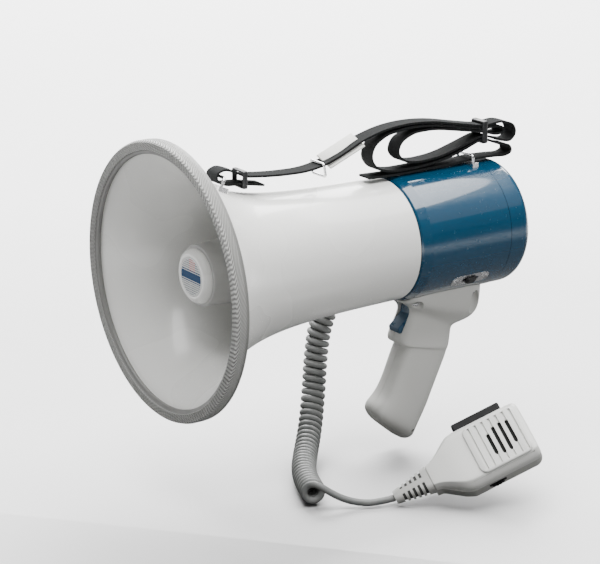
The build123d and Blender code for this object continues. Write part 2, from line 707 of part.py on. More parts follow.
def strap_tag():
    """The flat plate that the strap is threaded over to set its length."""
    plate = extrude(RectangleRounded(38, 18, 2.0), 1.6)
    slit = Pos(6, -2, 0) * Rot(0, 0, 12) * Box(20, 1.6, 8)
    lean = degrees(atan2(91 - 75.5, 190 - 152))
    return Pos(172, 0, 83) * Rot(0, -lean, 0) * Pos(0, 0, 2.0) * (plate - slit)


def wire(points, radius, bend):
    """A bent wire with rounded corners."""
    path = FilletPolyline(*points, radius=bend)
    section = Plane(origin=path @ 0, z_dir=path % 0) * Circle(radius)
    return sweep(section, path=path)


def front_ring():
    x = FRONT_RING_X
    foot = bell_radius(x) + 1.4
    points = [(x, -RING_HALF, foot), (x + 4.5, -RING_HALF, foot + 7.5), (x + 4.5, RING_HALF, foot + 7.5),
              (x, RING_HALF, foot)]
    return wire(points, RING_WIRE_R, 4.0)


def front_bracket(bell):
    x = FRONT_RING_X
    block = Box(11, 2 * RING_HALF + 8, 7)
    block = fillet(block.edges().filter_by(Axis.Z), 2.5)
    block = Pos(x, 0, bell_radius(x) - 1) * Rot(0, 23, 0) * block
    outside = (block - bell).solids().sort_by(Axis.Z)[-1]
    return outside - front_ring()


def rear_ring():
    x = REAR_RING_X
    foot = HOUSING_R + 1.2
    top = foot + 6.8
    points = [(x, -RING_HALF, foot), (x, -RING_HALF, top), (x, RING_HALF, top), (x, RING_HALF, foot)]
    return wire(points, RING_WIRE_R, 2.6)


def rear_bracket():
    block = Pos(REAR_RING_X, 0, HOUSING_R) * Box(6, 2 * RING_HALF + 8, 4.0)
    return block - bar(HOUSING_X, HOUSING_LENGTH, HOUSING_R) - rear_ring() - strap_gate()


def strap_gate():
    """Room for the strap where it passes under the rear ring."""
    return Pos(REAR_RING_X, 0, HOUSING_R + 5) * Box(20, STRAP_WIDTH + 1, 9)


def wire_loop():
    """The loose wire loop that hangs on the strap."""
    x, half, top, low = 150.0, 9.6, 77.6, 66.5
    points = [
        (x, 0, top), (x, half, top), (x + 2, half, low), (x + 2, -half, low), (x, -half, top), (x, -0.01, top),
    ]
    return wire(points, 1.1, 2.4)


# ---------------------------------------------------------------- cord and its gland

def cord_gland():
    cone = rod(GLAND_BASE, GLAND_TIP, GLAND_R, GLAND_TIP_R)
    return cone


def cord_lead():
    return rod(GLAND_TIP, COIL_ROUTE[0], CORD_R)


# ---------------------------------------------------------------- hand microphone

def in_mic(part):
    """Move a piece from the microphone's own frame to its place."""
    return MIC_FRAME.location * part


def mic_outline(inset):
    half = MIC_HALF
    points = [
        (BOOT_LENGTH, -NECK_HALF), (BOOT_LENGTH, NECK_HALF), (BOOT_LENGTH + 5, NECK_HALF + 0.6),
        (NECK_END - 8, half - 4), (NECK_END, half), (MIC_END, half), (MIC_END, -half),
        (NECK_END, -half), (NECK_END - 8, 4 - half), (BOOT_LENGTH + 5, -NECK_HALF - 0.6),
    ]
    face = make_face(Polyline(*points, close=True))
    ends = face.vertices().filter_by(lambda v: v.X > MIC_END - 1)
    face = fillet(ends, 8.0)
    shoulders = face.vertices().filter_by(lambda v: BOOT_LENGTH + 1 < v.X < NECK_END + 1)
    face = fillet(shoulders, 7.0)
    return offset(face, -inset) if inset else face


def groove_places():
    return [79.0 + GROOVE_PITCH * i for i in range(GROOVE_COUNT)]


def wheel_centre():
    return (WHEEL_AT[0], WHEEL_R - MIC_HALF - WHEEL_PROUD, WHEEL_AT[1])


def key_middle(v):
    """The talk key's middle, at a distance to the side of the microphone's axis."""
    return (KEY_PIVOT[0] - KEY_LENGTH / 2 + 3, v, KEY_RAISED)


def mic_cuts():
    """Openings shared by both shells: the talk key's slot, the wheel's slot and the boot's seat."""
    key = Pos(*key_middle(MIC_HALF)) * Box(KEY_LENGTH + 2, 15, KEY_WIDTH + 1.2)
    u, v, w = wheel_centre()
    wheel = Pos(u, v, w) * Cylinder(WHEEL_R + 0.8, WHEEL_THICK + 1.2)
    return key + wheel


def mic_front_shell():
    shell = extrude(mic_outline(0), FRONT_DEPTH)
    shell = fillet(shell.edges().group_by(Axis.Z)[-1], MIC_ROUND)
    shell -= extrude(mic_outline(MIC_WALL), FRONT_DEPTH - MIC_WALL)
    for u in groove_places():
        shell -= Pos(u, 0, FRONT_DEPTH) * Box(GROOVE_WIDTH, 43, 1.6)
    for u, (low, high) in zip(groove_places()[2:], SLOT_HALVES):
        shell -= Pos(u, (low + high) / 2, FRONT_DEPTH) * Box(SLOT_WIDTH, high - low, 12)
    return in_mic(shell - mic_cuts())


def mic_back_shell():
    shell = extrude(mic_outline(0), -BACK_DEPTH)
    shell = fillet(shell.edges().group_by(Axis.Z)[0], 6.0)
    shell -= extrude(mic_outline(MIC_WALL), MIC_WALL - BACK_DEPTH)
    for u, v in MIC_SCREWS:
        shell += Pos(u, v, -BACK_DEPTH / 2) * Cylinder(3.4, BACK_DEPTH - 2 * MIC_WALL)
        shell -= Pos(u, v, -BACK_DEPTH) * Cylinder(2.6, 5.0)
        shell -= Pos(u, v, -BACK_DEPTH) * Cylinder(1.3, 40)
    shell -= Pos(HANG_AT, 0, -BACK_DEPTH) * Cylinder(3.0, 12)
    return in_mic(shell - mic_cuts())


def mic_screws():
    screws = []
    for u, v in MIC_SCREWS:
        head = Pos(u, v, -BACK_DEPTH + 1.2) * Cylinder(2.4, 1.3, align=MIN)
        screws.append(in_mic(head + Pos(u, v, -BACK_DEPTH + 2) * Cylinder(1.2, 12, align=MIN)))
    return screws


def hang_button():
    """The button on the back that hooks into a holder."""
    shank = Pos(HANG_AT, 0, -BACK_DEPTH - 5) * Cylinder(HANG_R, 5 + MIC_WALL, align=MIN)
    head = Pos(HANG_AT, 0, -BACK_DEPTH - 8) * Cylinder(8.0, 3.0, align=MIN)
    return in_mic(shank + fillet(head.edges().group_by(Axis.Z)[0], 1.2))


def mic_boot():
    """The ribbed rubber sleeve where the cord enters the microphone."""
    sections = []
    for u, width, depth in ((0, 10.5, 10.5), (4, 12, 11.5), (BOOT_LENGTH, 22, 17)):
        plane = Plane(origin=(u, 0, 0), x_dir=(0, 1, 0), z_dir=(1, 0, 0))
        sections.append(plane * RectangleRounded(width, depth, 4.4))
    boot = loft(sections[:2], ruled=True) + loft(sections[1:], ruled=True)
    for i in range(5):
        for side in (-1, 1):
            boot -= Pos(8 + 4.6 * i, side * 14.2, 0) * Box(2.3, 24, 30)
    core = Plane(origin=(0, 0, 0), z_dir=(1, 0, 0)).location * Cylinder(4.6, BOOT_LENGTH, align=MIN)
    return in_mic(boot + core)


def talk_key():
    """The press-to-talk bar along the side, turning on a pin at its top end."""
    u, v = KEY_PIVOT
    body = Pos(*key_middle(MIC_HALF + 0.4)) * Box(KEY_LENGTH, KEY_DEPTH, KEY_WIDTH)
    body = fillet(body.edges().filter_by(lambda e: e.center().Y > MIC_HALF), 1.6)
    hole = Pos(u, v, 0) * Cylinder(KEY_PIN_R + PIN_CLEARANCE, 40)
    return in_mic(body - hole)


def key_pin():
    u, v = KEY_PIVOT
    return in_mic(Pos(u, v, KEY_RAISED) * Cylinder(KEY_PIN_R, KEY_WIDTH + 1.2))


def key_switch():
    return in_mic(Pos(90, MIC_HALF - 11.0, 5) * Box(9, 6, 4))


def volume_wheel():
    u, v, w = wheel_centre()
    wheel = Cylinder(WHEEL_R, WHEEL_THICK) - Cylinder(1.5 + PIN_CLEARANCE, 20)
    for y, z in ring_places(24, WHEEL_R):
        wheel -= Pos(y, z, 0) * Cylinder(0.7, 20)
    return in_mic(Pos(u, v, w) * wheel)


def wheel_spindle():
    u, v, w = wheel_centre()
    return in_mic(Pos(u, v, w) * Cylinder(1.5, WHEEL_THICK + 2))


def mic_capsule():
    return in_mic(Pos(94, 0, 5.6) * Cylinder(9.5, 4.0, align=MIN))


def grille_cloth():
    return in_mic(Pos(98, 0, FRONT_DEPTH - MIC_WALL - 0.6) * Box(44, 40, 0.5))


def mic_board():
    return in_mic(Pos(98, 0, 2.0) * Box(42, 26, 1.6))


def main():
    os.makedirs("parts", exist_ok=True)
    bell = horn_bell()
    write("horn_bell", bell)
    write("rim_trim", rim_trim(bell))
    write("reflector_cap", reflector_cap())
    write("badge", badge())
    write("reflector_cup", reflector_cup())
    write("throat_tube", throat_tube())
    write("driver_basket", driver_basket())
    write("driver_diaphragm", driver_diaphragm())
    write("driver_magnet", driver_magnet())
    write("driver_screws", driver_screws())
    write("rear_housing", rear_housing())
    write("bulkhead", bulkhead())
    write("amplifier_board", amplifier_board())
    write("board_components", board_components())
    write("heat_sink", heat_sink())
    write("battery_holder", battery_holder())
    write("battery_cells", battery_cells())
    write("cell_springs", cell_springs())
    write("rear_cover", rear_cover())
    write("cover_seal", cover_seal())
    write("switch_plate", switch_plate())
    write("switch_plate_screws", switch_plate_screws())
    write("slide_knob", slide_knob())
    write("switch_body", switch_body())
    near, far = grip_halves()
    write("grip_near_half", near)
    write("grip_far_half", far)
    write("clamp_screws", clamp_screws())
    write("saddle_screws", saddle_screws())
    write("trigger", trigger())
    write("trigger_pin", trigger_pin())
    write("trigger_switch", trigger_switch())
    write("front_ring", front_ring())
    write("front_bracket", front_bracket(bell))
    write("rear_ring", rear_ring())
    write("rear_bracket", rear_bracket())
    write("shoulder_strap", shoulder_strap())
    write("strap_keeper", strap_band(74.0, 75.0, 5.0, 12.6, 1.2))
    write("strap_tie", strap_band(HOUSING_X + TIE_BEHIND, HOUSING_R + TIE_OVER, 6.0, 18.0, 1.0))
    write("strap_tag", strap_tag())
    write("wire_loop", wire_loop())
    write("cord_gland", cord_gland())
    write("cord_lead", cord_lead())
    write("coiled_cord", route_tube(COIL_ROUTE, COIL_R))
    write("cord_tail", route_tube(TAIL_ROUTE, CORD_R))
    write("mic_boot", mic_boot())
    write("mic_front_shell", mic_front_shell())
    write("mic_back_shell", mic_back_shell())
    write("mic_screws", mic_screws())
    write("hang_button", hang_button())
    write("talk_key", talk_key())
    write("key_pin", key_pin())
    write("key_switch", key_switch())
    write("volume_wheel", volume_wheel())
    write("wheel_spindle", wheel_spindle())
    write("mic_capsule", mic_capsule())
    write("grille_cloth", grille_cloth())
    write("mic_board", mic_board())
    print("coil radii", [round(r, 1) for r in route_radii(COIL_ROUTE)])
    print("tail radii", [round(r, 1) for r in route_radii(TAIL_ROUTE)])


main()
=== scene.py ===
from math import cos, exp, pi, radians, sin

import bmesh
import bpy
from mathutils import Matrix, Vector


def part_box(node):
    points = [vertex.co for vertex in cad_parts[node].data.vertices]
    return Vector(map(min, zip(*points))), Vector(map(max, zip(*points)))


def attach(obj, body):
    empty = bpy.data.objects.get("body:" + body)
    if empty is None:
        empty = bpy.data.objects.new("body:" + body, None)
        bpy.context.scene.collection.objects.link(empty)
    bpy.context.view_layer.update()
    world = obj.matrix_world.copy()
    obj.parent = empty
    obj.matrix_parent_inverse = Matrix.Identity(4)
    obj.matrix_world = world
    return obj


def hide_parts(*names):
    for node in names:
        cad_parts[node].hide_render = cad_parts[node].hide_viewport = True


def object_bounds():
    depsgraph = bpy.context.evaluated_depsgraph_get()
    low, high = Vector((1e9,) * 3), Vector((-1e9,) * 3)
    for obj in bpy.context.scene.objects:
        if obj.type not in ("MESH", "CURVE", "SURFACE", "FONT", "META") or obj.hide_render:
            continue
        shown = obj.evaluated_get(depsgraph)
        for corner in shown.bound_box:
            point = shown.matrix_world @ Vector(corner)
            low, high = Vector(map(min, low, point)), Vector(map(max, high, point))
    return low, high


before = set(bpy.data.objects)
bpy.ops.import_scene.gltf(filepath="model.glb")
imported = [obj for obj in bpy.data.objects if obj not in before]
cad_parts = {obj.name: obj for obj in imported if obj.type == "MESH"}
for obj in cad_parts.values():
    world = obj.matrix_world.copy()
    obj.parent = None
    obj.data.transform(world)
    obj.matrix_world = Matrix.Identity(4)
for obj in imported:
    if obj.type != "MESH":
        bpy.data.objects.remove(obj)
cad_low, cad_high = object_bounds()


# ---------------------------------------------------------------- studio
# A pale floor under a large soft box, with a soft light beside the camera, a weak one high on
# the right and a wash over the floor behind. Two dark cards deepen the gloss of the blue
# canister. The camera stands above and in front of the horn's mouth.

class Wire:
    """One output of a node; arithmetic on it adds Math nodes."""

    def __init__(self, finish, socket):
        self.finish = finish
        self.socket = socket

    def __add__(self, other):
        return self.finish.maths("ADD", self, other)

    def __sub__(self, other):
        return self.finish.maths("SUBTRACT", self, other)

    def __rsub__(self, other):
        return self.finish.maths("SUBTRACT", other, self)

    def __mul__(self, other):
        return self.finish.maths("MULTIPLY", self, other)

    def __truediv__(self, other):
        return self.finish.maths("DIVIDE", self, other)

    def __gt__(self, other):
        return self.finish.maths("GREATER_THAN", self, other)

    def __lt__(self, other):
        return self.finish.maths("LESS_THAN", self, other)

    __radd__ = __add__
    __rmul__ = __mul__

    def cut(self, low, high, start=0.0, end=1.0):
        """Spread the span from low to high over start to end, with the ends held."""
        spread = {"Value": self, "From Min": low, "From Max": high, "To Min": start, "To Max": end}
        return self.finish.add("ShaderNodeMapRange", {"clamp": True}, spread)


class Finish:
    """A material under construction, on one Principled shader."""

    def __init__(self, name, **sockets):
        self.material = bpy.data.materials.new(name)
        self.material.use_nodes = True
        self.nodes = self.material.node_tree.nodes
        self.links = self.material.node_tree.links
        self.shader = self.nodes["Principled BSDF"]
        for socket, value in sockets.items():
            self.set(socket.replace("_", " "), value)

    def add(self, kind, settings=(), inputs=(), output=0):
        node = self.nodes.new(kind)
        for key, value in dict(settings).items():
            setattr(node, key, value)
        for key, value in dict(inputs).items():
            self.join(node.inputs[key], value)
        return Wire(self, node.outputs[output])

    def join(self, socket, value):
        if isinstance(value, Wire):
            self.links.new(value.socket, socket)
        elif hasattr(value, "__len__") and socket.type == "RGBA":
            socket.default_value = (*value[:3], 1.0)
        else:
            socket.default_value = value

    def set(self, socket, value):
        self.join(self.shader.inputs[socket], value)

    def maths(self, operation, *values):
        return self.add("ShaderNodeMath", {"operation": operation}, dict(enumerate(values)))

    def place(self):
        """Object coordinates, in metres."""
        return self.add("ShaderNodeTexCoord", output="Object")

    def parts(self, vector):
        """The three numbers of a vector."""
        node = self.add("ShaderNodeSeparateXYZ", (), {0: vector}).socket.node
        return [Wire(self, output) for output in node.outputs]

    def noise(self, scale, detail=3.0, rough=0.5):
        inputs = {"Vector": self.place(), "Scale": scale, "Detail": detail, "Roughness": rough}
        return self.add("ShaderNodeTexNoise", (), inputs)

    def mix(self, share, first, second):
        return self.add("ShaderNodeMix", {"data_type": "RGBA"},
                        {0: share, 6: first, 7: second}, output=2)

    def bump(self, height, distance, strength=1.0):
        """Relief of a height from 0 to 1, in metres. A second call adds to the first."""
        inputs = {"Height": height, "Distance": distance, "Strength": strength}
        before = self.shader.inputs["Normal"].links
        if before:
            inputs["Normal"] = Wire(self, before[0].from_socket)
        self.set("Normal", self.add("ShaderNodeBump", (), inputs))


def soft_light(name, place, aim, width, height, power, mirrored=True):
    data = bpy.data.lights.new(name, "AREA")
    data.shape = "RECTANGLE"
    data.size = width
    data.size_y = height
    data.energy = power
    light = bpy.data.objects.new(name, data)
    light.location = place
    light.rotation_euler = (Vector(aim) - Vector(place)).to_track_quat("-Z", "Y").to_euler()
    light.visible_glossy = mirrored
    bpy.context.collection.objects.link(light)


FLOOR_HALF = 6.0
FLOOR_GAP = 0.0002
floor_mesh = bpy.data.meshes.new("floor")
maker = bmesh.new()
bmesh.ops.create_grid(maker, x_segments=1, y_segments=1, size=FLOOR_HALF)
bmesh.ops.translate(maker, verts=maker.verts, vec=(0, 0, cad_low.z - FLOOR_GAP))
maker.to_mesh(floor_mesh)
maker.free()
floor = bpy.data.objects.new("floor", floor_mesh)
bpy.context.collection.objects.link(floor)
paper = Finish("floor_paper", Base_Color=(0.86, 0.86, 0.86), Roughness=0.9)
paper.set("Base Color", paper.mix(paper.noise(3.0), (0.86, 0.86, 0.86), (0.88, 0.88, 0.88)))
floor_mesh.materials.append(paper.material)

sky = bpy.data.worlds.new("studio")
sky.use_nodes = True
sky.node_tree.nodes["Background"].inputs["Color"].default_value = (1.0, 1.0, 1.0, 1.0)
sky.node_tree.nodes["Background"].inputs["Strength"].default_value = 0.2
bpy.context.scene.world = sky

soft_light("overhead", place=(0.1, -0.1, 1.7), aim=(0.1, -0.1, 0.1), width=2.3, height=1.7, power=100.0)
soft_light("right_front", place=(0.1, -2.3, 0.9), aim=(-0.05, 0, 0.08), width=2.2, height=1.8,
           power=26.0, mirrored=False)
soft_light("high_right", place=(1.05, -0.95, 1.2), aim=(0.0, 0, 0.15), width=1.5, height=0.8, power=1.6)
soft_light("back_wash", place=(2.0, 3.4, 3.0), aim=(2.0, 3.4, 0.0), width=4.5, height=4.5, power=1100.0)

CARD_SOLID_TO = 0.5       # shares of a card's smaller half side, between which it fades out
CARD_CLEAR_FROM = 0.98
CARD_LIFT = 0.0008


def dark_card(name, size, turn, lean, place, grey):
    """A card out of the camera's sight that takes light off the piece and darkens its gloss."""
    mesh = bpy.data.meshes.new(name)
    maker = bmesh.new()
    bmesh.ops.create_grid(maker, x_segments=1, y_segments=1, size=1.0)
    bmesh.ops.transform(maker, verts=maker.verts, matrix=Matrix.Diagonal((*size, 1.0, 1.0)))
    tilt = Matrix.Rotation(radians(turn), 3, "Z") @ Matrix.Rotation(radians(lean), 3, "X")
    bmesh.ops.rotate(maker, verts=maker.verts, matrix=tilt)
    bmesh.ops.translate(maker, verts=maker.verts, vec=place)
    maker.to_mesh(mesh)
    maker.free()
    card = bpy.data.objects.new(name, mesh)
    bpy.context.collection.objects.link(card)
    black = Finish(name, Base_Color=(grey, grey, grey), Roughness=1.0)
    x, y, z = black.parts(black.place())
    x, y = x - place[0], y - place[1]
    reach = black.maths("SQRT", x * x + y * y)
    half = min(size)
    black.set("Alpha", reach.cut(CARD_SOLID_TO * half, CARD_CLEAR_FROM * half, 1.0, 0.0))
    mesh.materials.append(black.material)
    card.visible_camera = False
    card.visible_shadow = False


dark_card("leaning_card", (1.5, 1.4), turn=-145.6, lean=15, place=(0.95, -1.34, 0.26), grey=0.02)
dark_card("lying_card", (1.0, 1.0), turn=-34.4, lean=0, place=(0.02, -0.02, cad_low.z + CARD_LIFT), grey=0.04)

camera_data = bpy.data.cameras.new("camera")
camera_data.sensor_width = 36.0
camera_data.lens = 132.42
camera = bpy.data.objects.new("camera", camera_data)
camera.location = (-1.1104, -1.4491, 0.6508)
camera.rotation_euler = Vector((0.539, 0.788, -0.299)).to_track_quat("-Z", "Y").to_euler()
bpy.context.collection.objects.link(camera)
bpy.context.scene.camera = camera


# ---------------------------------------------------------------- curly cord
# A round grey PVC cord, wound into a tight left-hand helix at the works. It hangs from the
# gland under the housing, sags to the floor, and its last turn opens into the plain tail
# that runs into the microphone's sleeve.

CORD_R = 0.0029
COIL_R = 0.0108
GLAND_TIP = Vector((-0.031, 0.0564, 0.0797))
LEAD_ROUTE = [GLAND_TIP, Vector((-0.0365, 0.058, 0.0722)), Vector((-0.044, 0.060, 0.062))]
COIL_ROUTE = [
    (-0.044, 0.060, 0.062), (-0.056, 0.061, 0.038), (-0.063, 0.058, 0.008),
    (-0.070, 0.051, -0.024),
    (-0.084, 0.036, -0.050), (-0.104, 0.014, -0.061), (-0.124, -0.012, -0.062),
    (-0.138, -0.038, -0.062), (-0.148, -0.062, -0.060),
]
TAIL_ROUTE = [
    (-0.1494, -0.0662, -0.0502), (-0.141, -0.072, -0.057), (-0.130, -0.079, -0.0645),
    (-0.117, -0.0865, -0.0685), (-0.104, -0.093, -0.0686), (-0.091, -0.098, -0.066),
]
TURN_POINTS = 12
HUNG_PITCH = 0.0066
LAID_PITCH = 0.0060
OPEN_END = radians(40)
DRAW_IN = 0.009           # the stretch over which the coil closes to the lead
CLOSED_SHARE = 0.12
LAID_UP_TO = 0.10         # how far along the coil lies, and how soon after that it hangs
HANGS_AFTER = 0.05
STOP_SHORT = 0.001


def spline_curve(name, points, radius=0.0, fineness=8):
    """A smooth NURBS curve through the run of a route."""
    data = bpy.data.curves.new(name, "CURVE")
    data.dimensions = "3D"
    spline = data.splines.new("NURBS")
    spline.points.add(len(points) - 1)
    for point, place in zip(spline.points, points):
        point.co = (*place, 1.0)
    spline.order_u = 3
    spline.use_endpoint_u = True
    data.resolution_u = fineness
    data.bevel_depth = radius
    data.bevel_resolution = 5
    data.use_fill_caps = True
    curve = bpy.data.objects.new(name, data)
    bpy.context.collection.objects.link(curve)
    return curve


def route_line(points):
    """Points along a route's smooth line, close together."""
    curve = spline_curve("route", points, fineness=40)
    bpy.context.view_layer.update()
    mesh = bpy.data.meshes.new_from_object(curve)
    line = [vertex.co.copy() for vertex in mesh.vertices]
    bpy.data.objects.remove(curve)
    return line


def at_length(line, lengths, length):
    """The point of a line at a length along it, and the line's direction there."""
    i = 1
    while i < len(lengths) - 1 and lengths[i] < length:
        i += 1
    share = (length - lengths[i - 1]) / (lengths[i] - lengths[i - 1])
    return line[i - 1].lerp(line[i], share), (line[i] - line[i - 1]).normalized()


def running_lengths(line):
    lengths = [0.0]
    for before, after in zip(line, line[1:]):
        lengths.append(lengths[-1] + (after - before).length)
    return lengths


def coil_turns():
    """The helix's control points, wound from its open lower end up to the lead."""
    line = route_line(COIL_ROUTE)[::-1]
    lengths = running_lengths(line)
    swell = 1 / (0.75 + 0.25 * cos(2 * pi / TURN_POINTS))
    radius = (COIL_R - CORD_R) * swell
    out = Vector(TAIL_ROUTE[0]) - line[0]
    points, length, angle = [], 0.0, OPEN_END
    while length < lengths[-1] - STOP_SHORT:
        centre, back = at_length(line, lengths, length)
        out = (out - back * out.dot(back)).normalized()
        side = out.cross(back)
        closing = min(1.0, CLOSED_SHARE + (lengths[-1] - length) / DRAW_IN)
        points.append(centre + radius * closing * (cos(angle) * out + sin(angle) * side))
        hung = min(1.0, max(0.0, (length - LAID_UP_TO) / HANGS_AFTER))
        length += (LAID_PITCH + (HUNG_PITCH - LAID_PITCH) * hung) / TURN_POINTS
        angle += 2 * pi / TURN_POINTS
    return points[::-1]


cord = spline_curve("curly_cord", LEAD_ROUTE[:-1] + coil_turns() + TAIL_ROUTE, CORD_R, 3)
cord_skin = Finish("cord_pvc", Base_Color=(0.2, 0.205, 0.2), Roughness=0.42)
grime = cord_skin.noise(60.0, 4.0)
dull, clean = (0.155, 0.16, 0.157), (0.215, 0.22, 0.213)
cord_skin.set("Base Color", cord_skin.mix(grime.cut(0.35, 0.7), dull, clean))
cord_skin.set("Roughness", grime.cut(0.3, 0.7, 0.34, 0.52))
cord_skin.bump(cord_skin.noise(2600.0, 2.0), 0.00006)
cord.data.materials.append(cord_skin.material)
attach(cord, "root")
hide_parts("cord_lead", "coiled_cord", "cord_tail")


# ---------------------------------------------------------------- cord gland
# A tapered rubber strain relief, moulded with ribs so that it bends evenly. Its base is
# pushed through the housing's underside from inside.

GLAND_BASE = Vector((-0.020, 0.044, 0.0975))
GLAND_R = 0.0065
GLAND_TIP_R = 0.0042
GLAND_RIBS = 5
RIB_DEPTH = 0.0010


def finished(name, maker, sharp=35.0):
    """The object made from a bmesh: normals out, smooth faces, sharp creases."""
    bmesh.ops.remove_doubles(maker, verts=maker.verts, dist=1e-7)
    bmesh.ops.recalc_face_normals(maker, faces=maker.faces)
    mesh = bpy.data.meshes.new(name)
    maker.to_mesh(mesh)
    maker.free()
    for face in mesh.polygons:
        face.use_smooth = True
    mesh.set_sharp_from_angle(angle=radians(sharp))
    piece = bpy.data.objects.new(name, mesh)
    bpy.context.collection.objects.link(piece)
    return piece


def outline_spun(maker, outline, axis_z=0.0, steps=192):
    """Spin an (x, radius) outline about an axis along X."""
    verts = [maker.verts.new((x, 0, axis_z + r)) for x, r in outline]
    edges = [maker.edges.new(pair) for pair in zip(verts, verts[1:])]
    bmesh.ops.spin(maker, geom=verts + edges, cent=(0, 0, axis_z), axis=(1, 0, 0),
                   angle=2 * pi, steps=steps, use_merge=True)


def settle(piece, material, slot, *nodes):
    """Give a finished piece its material, its body and the nodes it stands for. The slot is not used."""
    piece.data.materials.append(material)
    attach(piece, "root")
    if nodes:
        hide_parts(*nodes)
    return piece


gland_length = (GLAND_TIP - GLAND_BASE).length
gland_line = [(0.0, 0.0), (0.0, GLAND_R)]
for i in range(GLAND_RIBS):
    for share, sunk in ((0.1, 0.0), (0.5, 0.0), (0.6, RIB_DEPTH), (0.9, RIB_DEPTH)):
        t = (i + share) / GLAND_RIBS
        gland_line.append((t * gland_length, GLAND_R + (GLAND_TIP_R - GLAND_R) * t - sunk))
gland_line += [(gland_length, GLAND_TIP_R), (gland_length, CORD_R)]
gland_line += [(gland_length - 0.004, CORD_R - 0.0003)]
maker = bmesh.new()
outline_spun(maker, gland_line, steps=48)
aim = Vector((1, 0, 0)).rotation_difference(GLAND_TIP - GLAND_BASE).to_matrix().to_4x4()
bmesh.ops.transform(maker, verts=maker.verts, matrix=Matrix.Translation(GLAND_BASE) @ aim)
gland = finished("cord_gland_ribbed", maker)
settle(gland, cord_skin.material, "cord_grey", "cord_gland")


# ---------------------------------------------------------------- horn bell
# The flared horn: a thin ABS moulding, gloss white outside and in, with a faint ring inside
# where the core of its mould was divided.

def moulded(name, colour, rough, grain=0.00004, coat=0.0, spread=0.04):
    """Injection-moulded plastic: even colour, faint flow marks and a fine spark-eroded grain."""
    finish = Finish(name, Base_Color=colour, Roughness=rough)
    if coat:
        finish.set("Coat Weight", coat)
        finish.set("Coat Roughness", 0.05)
    cloud = finish.noise(18.0, 3.0)
    darker = [c * (1 - spread) for c in colour]
    finish.set("Base Color", finish.mix(cloud, darker, colour))
    finish.set("Roughness", finish.noise(140.0, 4.0).cut(0.3, 0.7, rough * 0.85, rough * 1.15))
    finish.bump(finish.noise(3200.0, 2.0), grain)
    return finish


bell_low, bell_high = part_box("horn_bell")
AXIS_Z = (bell_low.z + bell_high.z) / 2
MOUTH_X = bell_low.x
MOUTH_R = (bell_high.z - bell_low.z) / 2
THROAT_R = 0.0525
BELL_LENGTH = bell_high.x - bell_low.x
FLARE_LENGTH = 0.042
BELL_WALL = 0.0024
BELL_STEPS = 60
MOULD_LINE_AT = 0.055
MOULD_STEP = 0.0004


def bell_radius(x):
    """Outside radius of the bell, at a distance from its mouth."""
    return THROAT_R + (MOUTH_R - THROAT_R) * exp(-x / FLARE_LENGTH)


along = [BELL_LENGTH * (i / BELL_STEPS) ** 1.4 for i in range(BELL_STEPS + 1)]
outer = [(MOUTH_X + x, bell_radius(x)) for x in along]
inner = []
for x in along:
    step = MOULD_STEP if x > MOULD_LINE_AT else 0.0
    inner.append((MOUTH_X + x, bell_radius(x) - BELL_WALL - step))
maker = bmesh.new()
outline_spun(maker, outer + inner[::-1] + outer[:1], AXIS_Z, 256)
bell = finished("horn_bell_shell", maker)
horn_white = moulded("horn_white", (0.78, 0.78, 0.755), 0.26, 0.000006, 0.35, 0.02)
scuff = horn_white.noise(420.0, 6.0, rough=0.7).cut(0.60, 0.72)
horn_white.set("Roughness", scuff * 0.12 + horn_white.noise(9.0, 2.0).cut(0.3, 0.7, 0.22, 0.30))
settle(bell, horn_white.material, "horn_white", "horn_bell")


# ---------------------------------------------------------------- edging round the mouth
# A soft grey extrusion pushed over the bell's edge. Its face has fine concentric ridges
# crossed by a slanting knurl, and a smooth lip turns in against the horn.

TRIM_OUT_R = MOUTH_R + 0.002
TRIM_LIP_R = MOUTH_R - 0.0095
TRIM_FRONT = -0.0035
TRIM_BACK = 0.0085
RIDGES = 6
RIDGE_HIGH = 0.00035
trim_line = [(TRIM_BACK - 0.0012, MOUTH_R - 0.0005), (TRIM_BACK, MOUTH_R + 0.0006)]
trim_line += [(TRIM_BACK - 0.0006, TRIM_OUT_R - 0.0002), (TRIM_BACK - 0.003, TRIM_OUT_R)]
trim_line += [(TRIM_FRONT + 0.0030, TRIM_OUT_R), (TRIM_FRONT + 0.0012, TRIM_OUT_R - 0.0006)]
face_out, face_in = TRIM_OUT_R - 0.0014, MOUTH_R - 0.0062
for i in range(2 * RIDGES + 1):
    share = i / (2 * RIDGES)
    raised = RIDGE_HIGH if i % 2 else 0.0
    front = TRIM_FRONT + RIDGE_HIGH - raised + 0.0006 * share
    trim_line.append((front, face_out + (face_in - face_out) * share))
trim_line += [(TRIM_FRONT + 0.0022, face_in - 0.0004), (TRIM_FRONT + 0.0026, face_in - 0.0010)]
trim_line += [(TRIM_FRONT + 0.0026, TRIM_LIP_R + 0.0008), (TRIM_FRONT + 0.0032, TRIM_LIP_R + 0.0001)]
trim_line += [(TRIM_FRONT + 0.0046, TRIM_LIP_R), (TRIM_FRONT + 0.0058, TRIM_LIP_R + 0.0006)]
trim_line += [(0.0030, MOUTH_R - 0.0080)]
trim_line = [(MOUTH_X + x, r) for x, r in trim_line]
maker = bmesh.new()
outline_spun(maker, trim_line + trim_line[:1], AXIS_Z, 256)
trim = finished("mouth_edging", maker, 50.0)
trim_grey = moulded("trim_grey", (0.36, 0.36, 0.345), 0.46, 0.00002)
x, y, z = trim_grey.parts(trim_grey.place())
turn = trim_grey.maths("ARCTAN2", z - AXIS_Z, y)
reach = trim_grey.maths("SQRT", y * y + (z - AXIS_Z) * (z - AXIS_Z))
KNURLS = 190
KNURL_SLANT = 4600.0
slant = x * KNURL_SLANT - reach * KNURL_SLANT
knurl = trim_grey.maths("SINE", turn * KNURLS + slant)
knurled = (reach > MOUTH_R - 0.0064) * x.cut(MOUTH_X + 0.004, MOUTH_X + 0.006, 1.0, 0.0)
